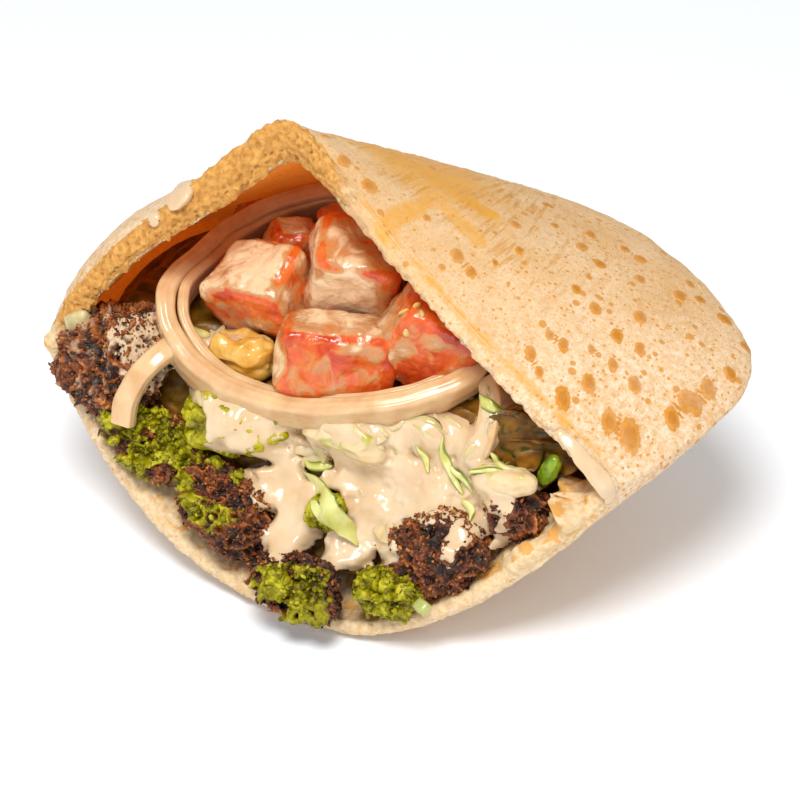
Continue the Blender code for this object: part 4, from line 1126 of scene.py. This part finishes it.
# pools of sauce: place across and up the face, half sizes, turn in degrees, how deep they fill; and dry gaps
pools = [
    (13.5, 3, 4, 5, 20, 0.6), (6, 0, 5.5, 4.5, 20, 0.8), (-21, 17.8, 12.5, 6.6, 8, 0.45),
    (-10, 8, 8, 6.5, 0, 1.0), (-7.5, 0, 5.0, 7.5, -12, 1.0), (13, 13, 13.5, 8.0, 15, 0.9),
    (2, 24, 26, 5.5, 13, 0.25), (22, 27, 10, 8, 20, 0.3), (26, 19, 7, 6, 20, 0.4),
    (-31, 26, 8, 5, -10, 0.4), (-34, 33, 8, 7, 20, 0.6), (29.5, 8.5, 2.8, 6.5, -14, 0.8),
    (35, 17, 4, 3, 0, 0.3), (14, 5.5, 5, 3.6, 0, 0.7), (36, 12, 1.8, 4, -20, 0.6),
    (-17, 12, 8, 4, 0, 0.8), (2.5, 11.5, 7.5, 3.2, 10, 1.0), (2.0, 16.5, 5.5, 3.4, 10, 0.8),
    (22.5, 34.5, 6.5, 3, 20, 0.3), (7.5, 6, 4, 4.5, 20, 0.9)]
gaps = [
    (-6.5, 12.5, 2.6, 2.2, 20), (-22, 9.6, 7, 1.7, 12), (0.8, 6.0, 3.4, 4.2, 0),
    (-30.5, 15.5, 3.4, 4.5, 10), (20, 6, 4.5, 2.6, -15)]


def makeSauce():
    # the film follows the softened heights below it, thins to nothing at its ragged edge and dips under there
    heights = faceHeights(clouds + [sauceBody])
    i, j = np.meshgrid(*[np.arange(n) for n in face["shape"]], indexing="ij")
    a, b = face["low"][0] + i * face["step"], face["low"][1] + j * face["step"]
    flat = np.stack([a, b, 0 * a], -1)
    mark, deep = poolMark(pools, a, b)
    mark = mark + 0.20 * layered(flat, 6, 71) + 0.12 * layered(flat, 1.8, 72, 3)
    mark = np.minimum(mark, -poolMark(gaps, a, b)[0] + 0.2 * layered(flat, 2.2, 73, 3))
    close, wide = blurred(heights, 0.4), blurred(heights, 2.4)
    deep = blurred(deep, 0.8)
    body = close + (blurred(np.maximum(close, wide), 1.6) + 0.3 - close) * deep
    film = (0.35 + 0.45 * deep) * np.sqrt(np.clip(mark, 0, 0.35) / 0.35)
    drop = 9 * np.clip(-mark, 0, 1) + 0.4
    runs = 0.25 * (1 - creased(flat * np.array([1, 0.45, 1]), 5.0, 75, 2)) * deep
    top = body + film + runs - drop * (mark < 0) + 0.08 * layered(flat, 1.8, 74, 2)
    top = blurred(top, 0.35)
    keep = mark > -0.16
    number = np.cumsum(keep.ravel()).reshape(keep.shape) - 1
    square = keep[:-1, :-1] & keep[1:, :-1] & keep[1:, 1:] & keep[:-1, 1:]
    quads = np.stack([number[:-1, :-1][square], number[1:, :-1][square], number[1:, 1:][square],
                      number[:-1, 1:][square]], -1)
    upper = onFace(a, b, top)[keep]
    lower = onFace(a, b, top - 1.2)[keep]
    count = len(upper)
    edges = np.stack([quads, np.roll(quads, -1, 1)], -1).reshape(-1, 2)
    there, back = edges[:, 0] * count + edges[:, 1], edges[:, 1] * count + edges[:, 0]
    rim = edges[~np.isin(there, back)]
    walls = np.stack([rim[:, 1], rim[:, 0], rim[:, 0] + count, rim[:, 1] + count], -1)
    faces = np.concatenate([quads, quads[:, ::-1] + count, walls])
    used = np.unique(faces)
    renumber = np.zeros(2 * count, int)
    renumber[used] = np.arange(len(used))
    points = np.concatenate([upper, lower])[used]
    thin = np.tile(smooth(mark, 0.16, 0.0)[keep], 2)[used]
    makePiece("tahiniSauce", points, [renumber[faces]], tahini, "tahini", dict(thin=thin), replaces=("tahini",))
    return blurred(top, 0.8)


sauceTop = makeSauce()
leaf = [([(-7.4, 11.6), (-3.4, 9.6), (0.6, 7.4), (4.4, 4.0), (7.6, 0.6)], 5.0, 0.7, 2.0, 1.0),
        ([(-3.0, 7.6), (0.6, 5.0), (3.0, 1.6)], 2.4, 0.6, 1.6, -0.7)]
rib = [([(3.4, 11.4), (6.6, 8.0), (10.2, 5.0), (15.0, 3.4)], 3.4, 1.4, 1.5, 0.7)]
# strips over the sauce: what they lie on, their stops, how pointed they are, look, then how their edges turn
# green: the noise's strength, its patch size and seed, and two limits, which the pale rib's edges never reach
for name, below, strips, pointed, look, strength, patch, seed, low, high, replaced in (
        ("lettuceStrips", np.maximum(soft, sauceTop), greenStrips, 0.6, lettuce, 0.5, 3, 66, 0.5, 1.0, ()),
        ("cabbageRibs", soft, rib, 0.6, cabbage, 0, 3, 66, 2, 3, ()),
        ("lettuce.shred", soft, leaf, 0.75, lettuce, 0.25, 3, 66, 0.86, 1.05, ("lettuce_shred",)),
        ("darkLeaves", soft, darkStrips, 0.35, darkLeaf, 0.4, 3, 67, 0.7, 1.0, ())):
    points, faceSets, rim = laidStrips(below, strips, pointed)
    tint = smooth(rim + strength * noise(points, patch, seed), low, high)
    makePiece(name, points, faceSets, look, "greens", dict(tint=tint), replaces=replaced)


def makeBits(name, places, half, power, seed, look, slot, tint):
    # squared little balls at these places on the face, each turned its own way
    dice = np.random.default_rng(seed)
    balls = directions(20, 30)
    parts = []
    for across, upward, height in places:
        grid = balls * squared(balls, power)[..., None] * np.array(half) * dice.uniform(0.8, 1.15, 3)
        grid = turned(grid, dice.uniform(0, 180, 3))
        grid = grid + 0.12 * layered(grid + across, 1.2, seed)[..., None]
        parts.append(capped(grid + onFace(*np.array([[across], [upward], [height]]))))
    points, faceSets = merged(parts)
    makePiece(name, points, faceSets, look, slot, dict(tint=tint))


places = np.array([(10.0, 46.6), (11.9, 48.4), (8.0, 48.0), (12.6, 45.2), (9.6, 44.2), (10.2, 49.6)])
seedHeights = heightAt(faceHeights(dryClouds), *places.T) - 0.25
seedPlaces = np.column_stack([places, seedHeights])
makeBits("tomatoSeeds", seedPlaces, (1.15, 0.8, 0.5), 2.0, 91, pickled, "tomato", 0.2)
makeBits("greenCube", [(25.2, -6.4, 40.6)], (1.7, 1.5, 1.5), 3.5, 92, lettuce, "greens", 0.5)

# drips of sauce along the roof's edge and on the bread: turn and depth of each stop, width and thickness
drips = [
    ([(0.20, -0.006), (0.16, -0.014), (0.12, -0.020), (0.08, -0.020), (0.04, -0.018), (0.0, -0.012),
      (-0.05, -0.002)], 3.5, 1.2),
    ([(0.675, -0.006), (0.688, 0.006), (0.705, 0.020)], 7.0, 2.6),
    ([(0.712, -0.004), (0.725, 0.004)], 4.0, 2.0), ([(1.905, 0.035), (1.91, 0.05)], 2.6, 1.8),
    ([(1.86, 0.06), (1.852, 0.078)], 2.8, 2.0), ([(1.80, 0.055), (1.795, 0.07)], 3.4, 2.0)]


def makeDrips():
    # strips that follow the bread: outside it over the roof, inside the lip below
    parts = []
    for stops, width, thick in drips:
        turn, depth = curve(stops, 30).T
        inset = np.where(turn > 1.5, wallOf(turn * np.pi, depth), 0.0)
        path = pocket(turn * np.pi, np.clip(depth, 0, 1), inset)
        path[:, 1] -= 80 * np.clip(-depth, 0, 1)
        away = unit(path - (5, 20, 30))
        grid = ribbons(path[None], np.array([width]), np.array([thick]), np.zeros(1), away, 20)
        parts.append(joinedRibbons(grid)[:2])
    points, faceSets = merged(parts)
    makePiece("sauceDrips", points, faceSets, tahini, "tahini", dict(thin=0.9))


makeDrips()


def pickedPlaces(dice, count, wantInside, lowest):
    # places and outward directions on the falafel's green or brown parts that face the mouth
    places, normals, inside = (np.concatenate([each[k] for each in crumbSeeds]) for k in range(3))
    share = inside if wantInside else 1 - inside
    weight = share * (normals @ unit(np.array([0.2, -0.8, 0.4])) > lowest)
    picked = dice.choice(len(places), count, p=weight / weight.sum())
    return places[picked], normals[picked]


def makeCrumbs(name, count, seed, wantInside, size, slot):
    # rough little lumps of a few dozen faces, each half sunk into the falafel where it sits
    dice = np.random.default_rng(seed)
    places, normals = pickedPlaces(dice, count, wantInside, -0.1)
    ball = directions(5, 7)
    form = ball[None] * (1 + dice.normal(0, 0.22, (count, 5, 7, 1)))
    form[:, 0], form[:, -1] = form[:, :1, 0], form[:, -1:, 0]
    spin = unit(dice.normal(0, 1, (count, 3)))
    stretch = np.exp(np.clip(dice.normal(0, 0.45, (count, 1, 1, 3)), -0.8, 0.7))
    form = form * stretch * (size * np.exp(dice.normal(0, 0.35, (count, 1, 1, 1))))
    other = unit(np.cross(spin, dice.normal(0, 1, (count, 3))))
    form = np.einsum("nrci,nij->nrcj", form, np.stack([spin, other, np.cross(spin, other)], 1))
    form = form + (places + normals * size * 0.35)[:, None, None, :]
    _, faceSets = capped(form[0])
    points = np.concatenate([form[:, 0].mean(1)[:, None], form[:, 1:-1].reshape(count, -1, 3),
                             form[:, -1].mean(1)[:, None]], 1)
    tone = np.repeat(dice.uniform(0.25, 0.9, count), points.shape[1])
    makePiece(name, *repeated(points, faceSets), friedFalafel, slot,
              dict(tone=tone, pit=0.0, coat=0.0, inside=float(wantInside)))


def makeFlakes(count, seed):
    # shards of crust that stand out at a slant from where the falafel is brown
    dice = np.random.default_rng(seed)
    places, normals = pickedPlaces(dice, count, False, 0.0)
    heading = unit(np.cross(normals, dice.normal(0, 1, (count, 3)))) + 0.45 * normals
    s = np.linspace(-0.5, 0.5, 8)[None, :, None]
    size = dice.uniform(1.2, 2.6, count)[:, None, None]
    paths = places[:, None] + heading[:, None] * s * size + 0.3 * normals[:, None]
    grid = ribbons(paths, dice.uniform(0.5, 1.1, count), dice.uniform(0.25, 0.5, count),
                   dice.normal(0, 0.6, count), normals[:, None], 6, 0.6)
    points, faceSets, _ = joinedRibbons(grid)
    tone = np.repeat(dice.uniform(0.2, 0.8, count), len(points) // count)
    makePiece("crustFlakes", points, faceSets, friedFalafel, "falafel",
              dict(tone=tone, pit=0.0, coat=0.0, inside=0.0))


makeFlakes(260, 83)
makeCrumbs("crustCrumbs", 4200, 81, False, 0.22, "falafel")
makeCrumbs("herbCrumbs", 900, 82, True, 0.32, "falafel_inside")


def makeStage():
    # a matt white ground 4 m wide at the belly's height
    material, node, _, _ = newMaterial("paleFloor")
    shader = node("BsdfPrincipled", {"Base Color": colour("#FAFCFF"), "Roughness": 0.9})
    node("OutputMaterial", {"Surface": shader})
    mesh = bpy.data.meshes.new("floor")
    mesh.from_pydata([(-2, -2, 0), (2, -2, 0), (2, 2, 0), (-2, 2, 0)], [], [(0, 1, 2, 3)])
    mesh.materials.append(material)
    floor = bpy.data.objects.new("floor", mesh)
    bpy.context.scene.collection.objects.link(floor)


def makeLight(name, place, size, power, tint="#FFFFFF"):
    # a round lamp that faces a point 4 cm above the origin; place and size in metres
    lamp = bpy.data.lights.new(name, "AREA")
    lamp.shape, lamp.size, lamp.energy, lamp.color = "DISK", size, power, colour(tint)[:3]
    holder = bpy.data.objects.new(name, lamp)
    holder.location = place
    holder.rotation_euler = (Vector((0, 0, 0.04)) - Vector(place)).to_track_quat("-Z", "Y").to_euler()
    bpy.context.scene.collection.objects.link(holder)


def makeCamera():
    # a long lens that looks at the middle of the mouth from the front, the right and above
    aim, back, distance = Vector((3.40, -3.73, 34.97)) * mm, Vector((0.36166, -0.73499, 0.57358)), 0.6
    lens = bpy.data.cameras.new("camera")
    lens.lens, lens.sensor_width, lens.clip_start = 135, 36, 0.01
    camera = bpy.data.objects.new("camera", lens)
    camera.location = aim + back.normalized() * distance
    camera.rotation_euler = (-back).to_track_quat("-Z", "Y").to_euler()
    bpy.context.scene.collection.objects.link(camera)
    bpy.context.scene.camera = camera


makeStage()
makeLight("keyLight", (0.10, -0.38, 0.82), 0.34, 6.4)
makeLight("leftLight", (-0.42, -0.62, 0.30), 0.45, 0.7, "#E2ECFF")
makeLight("rightLight", (0.50, -0.62, 0.14), 0.45, 0.9, "#E2ECFF")
world = bpy.data.worlds.new("softRoom")
world.use_nodes = True
world.node_tree.nodes["Background"].inputs["Color"].default_value = (0.95, 0.98, 1, 1)
world.node_tree.nodes["Background"].inputs["Strength"].default_value = 0.56
bpy.context.scene.world = world
bpy.context.scene.view_settings.view_transform = "Standard"
makeCamera()
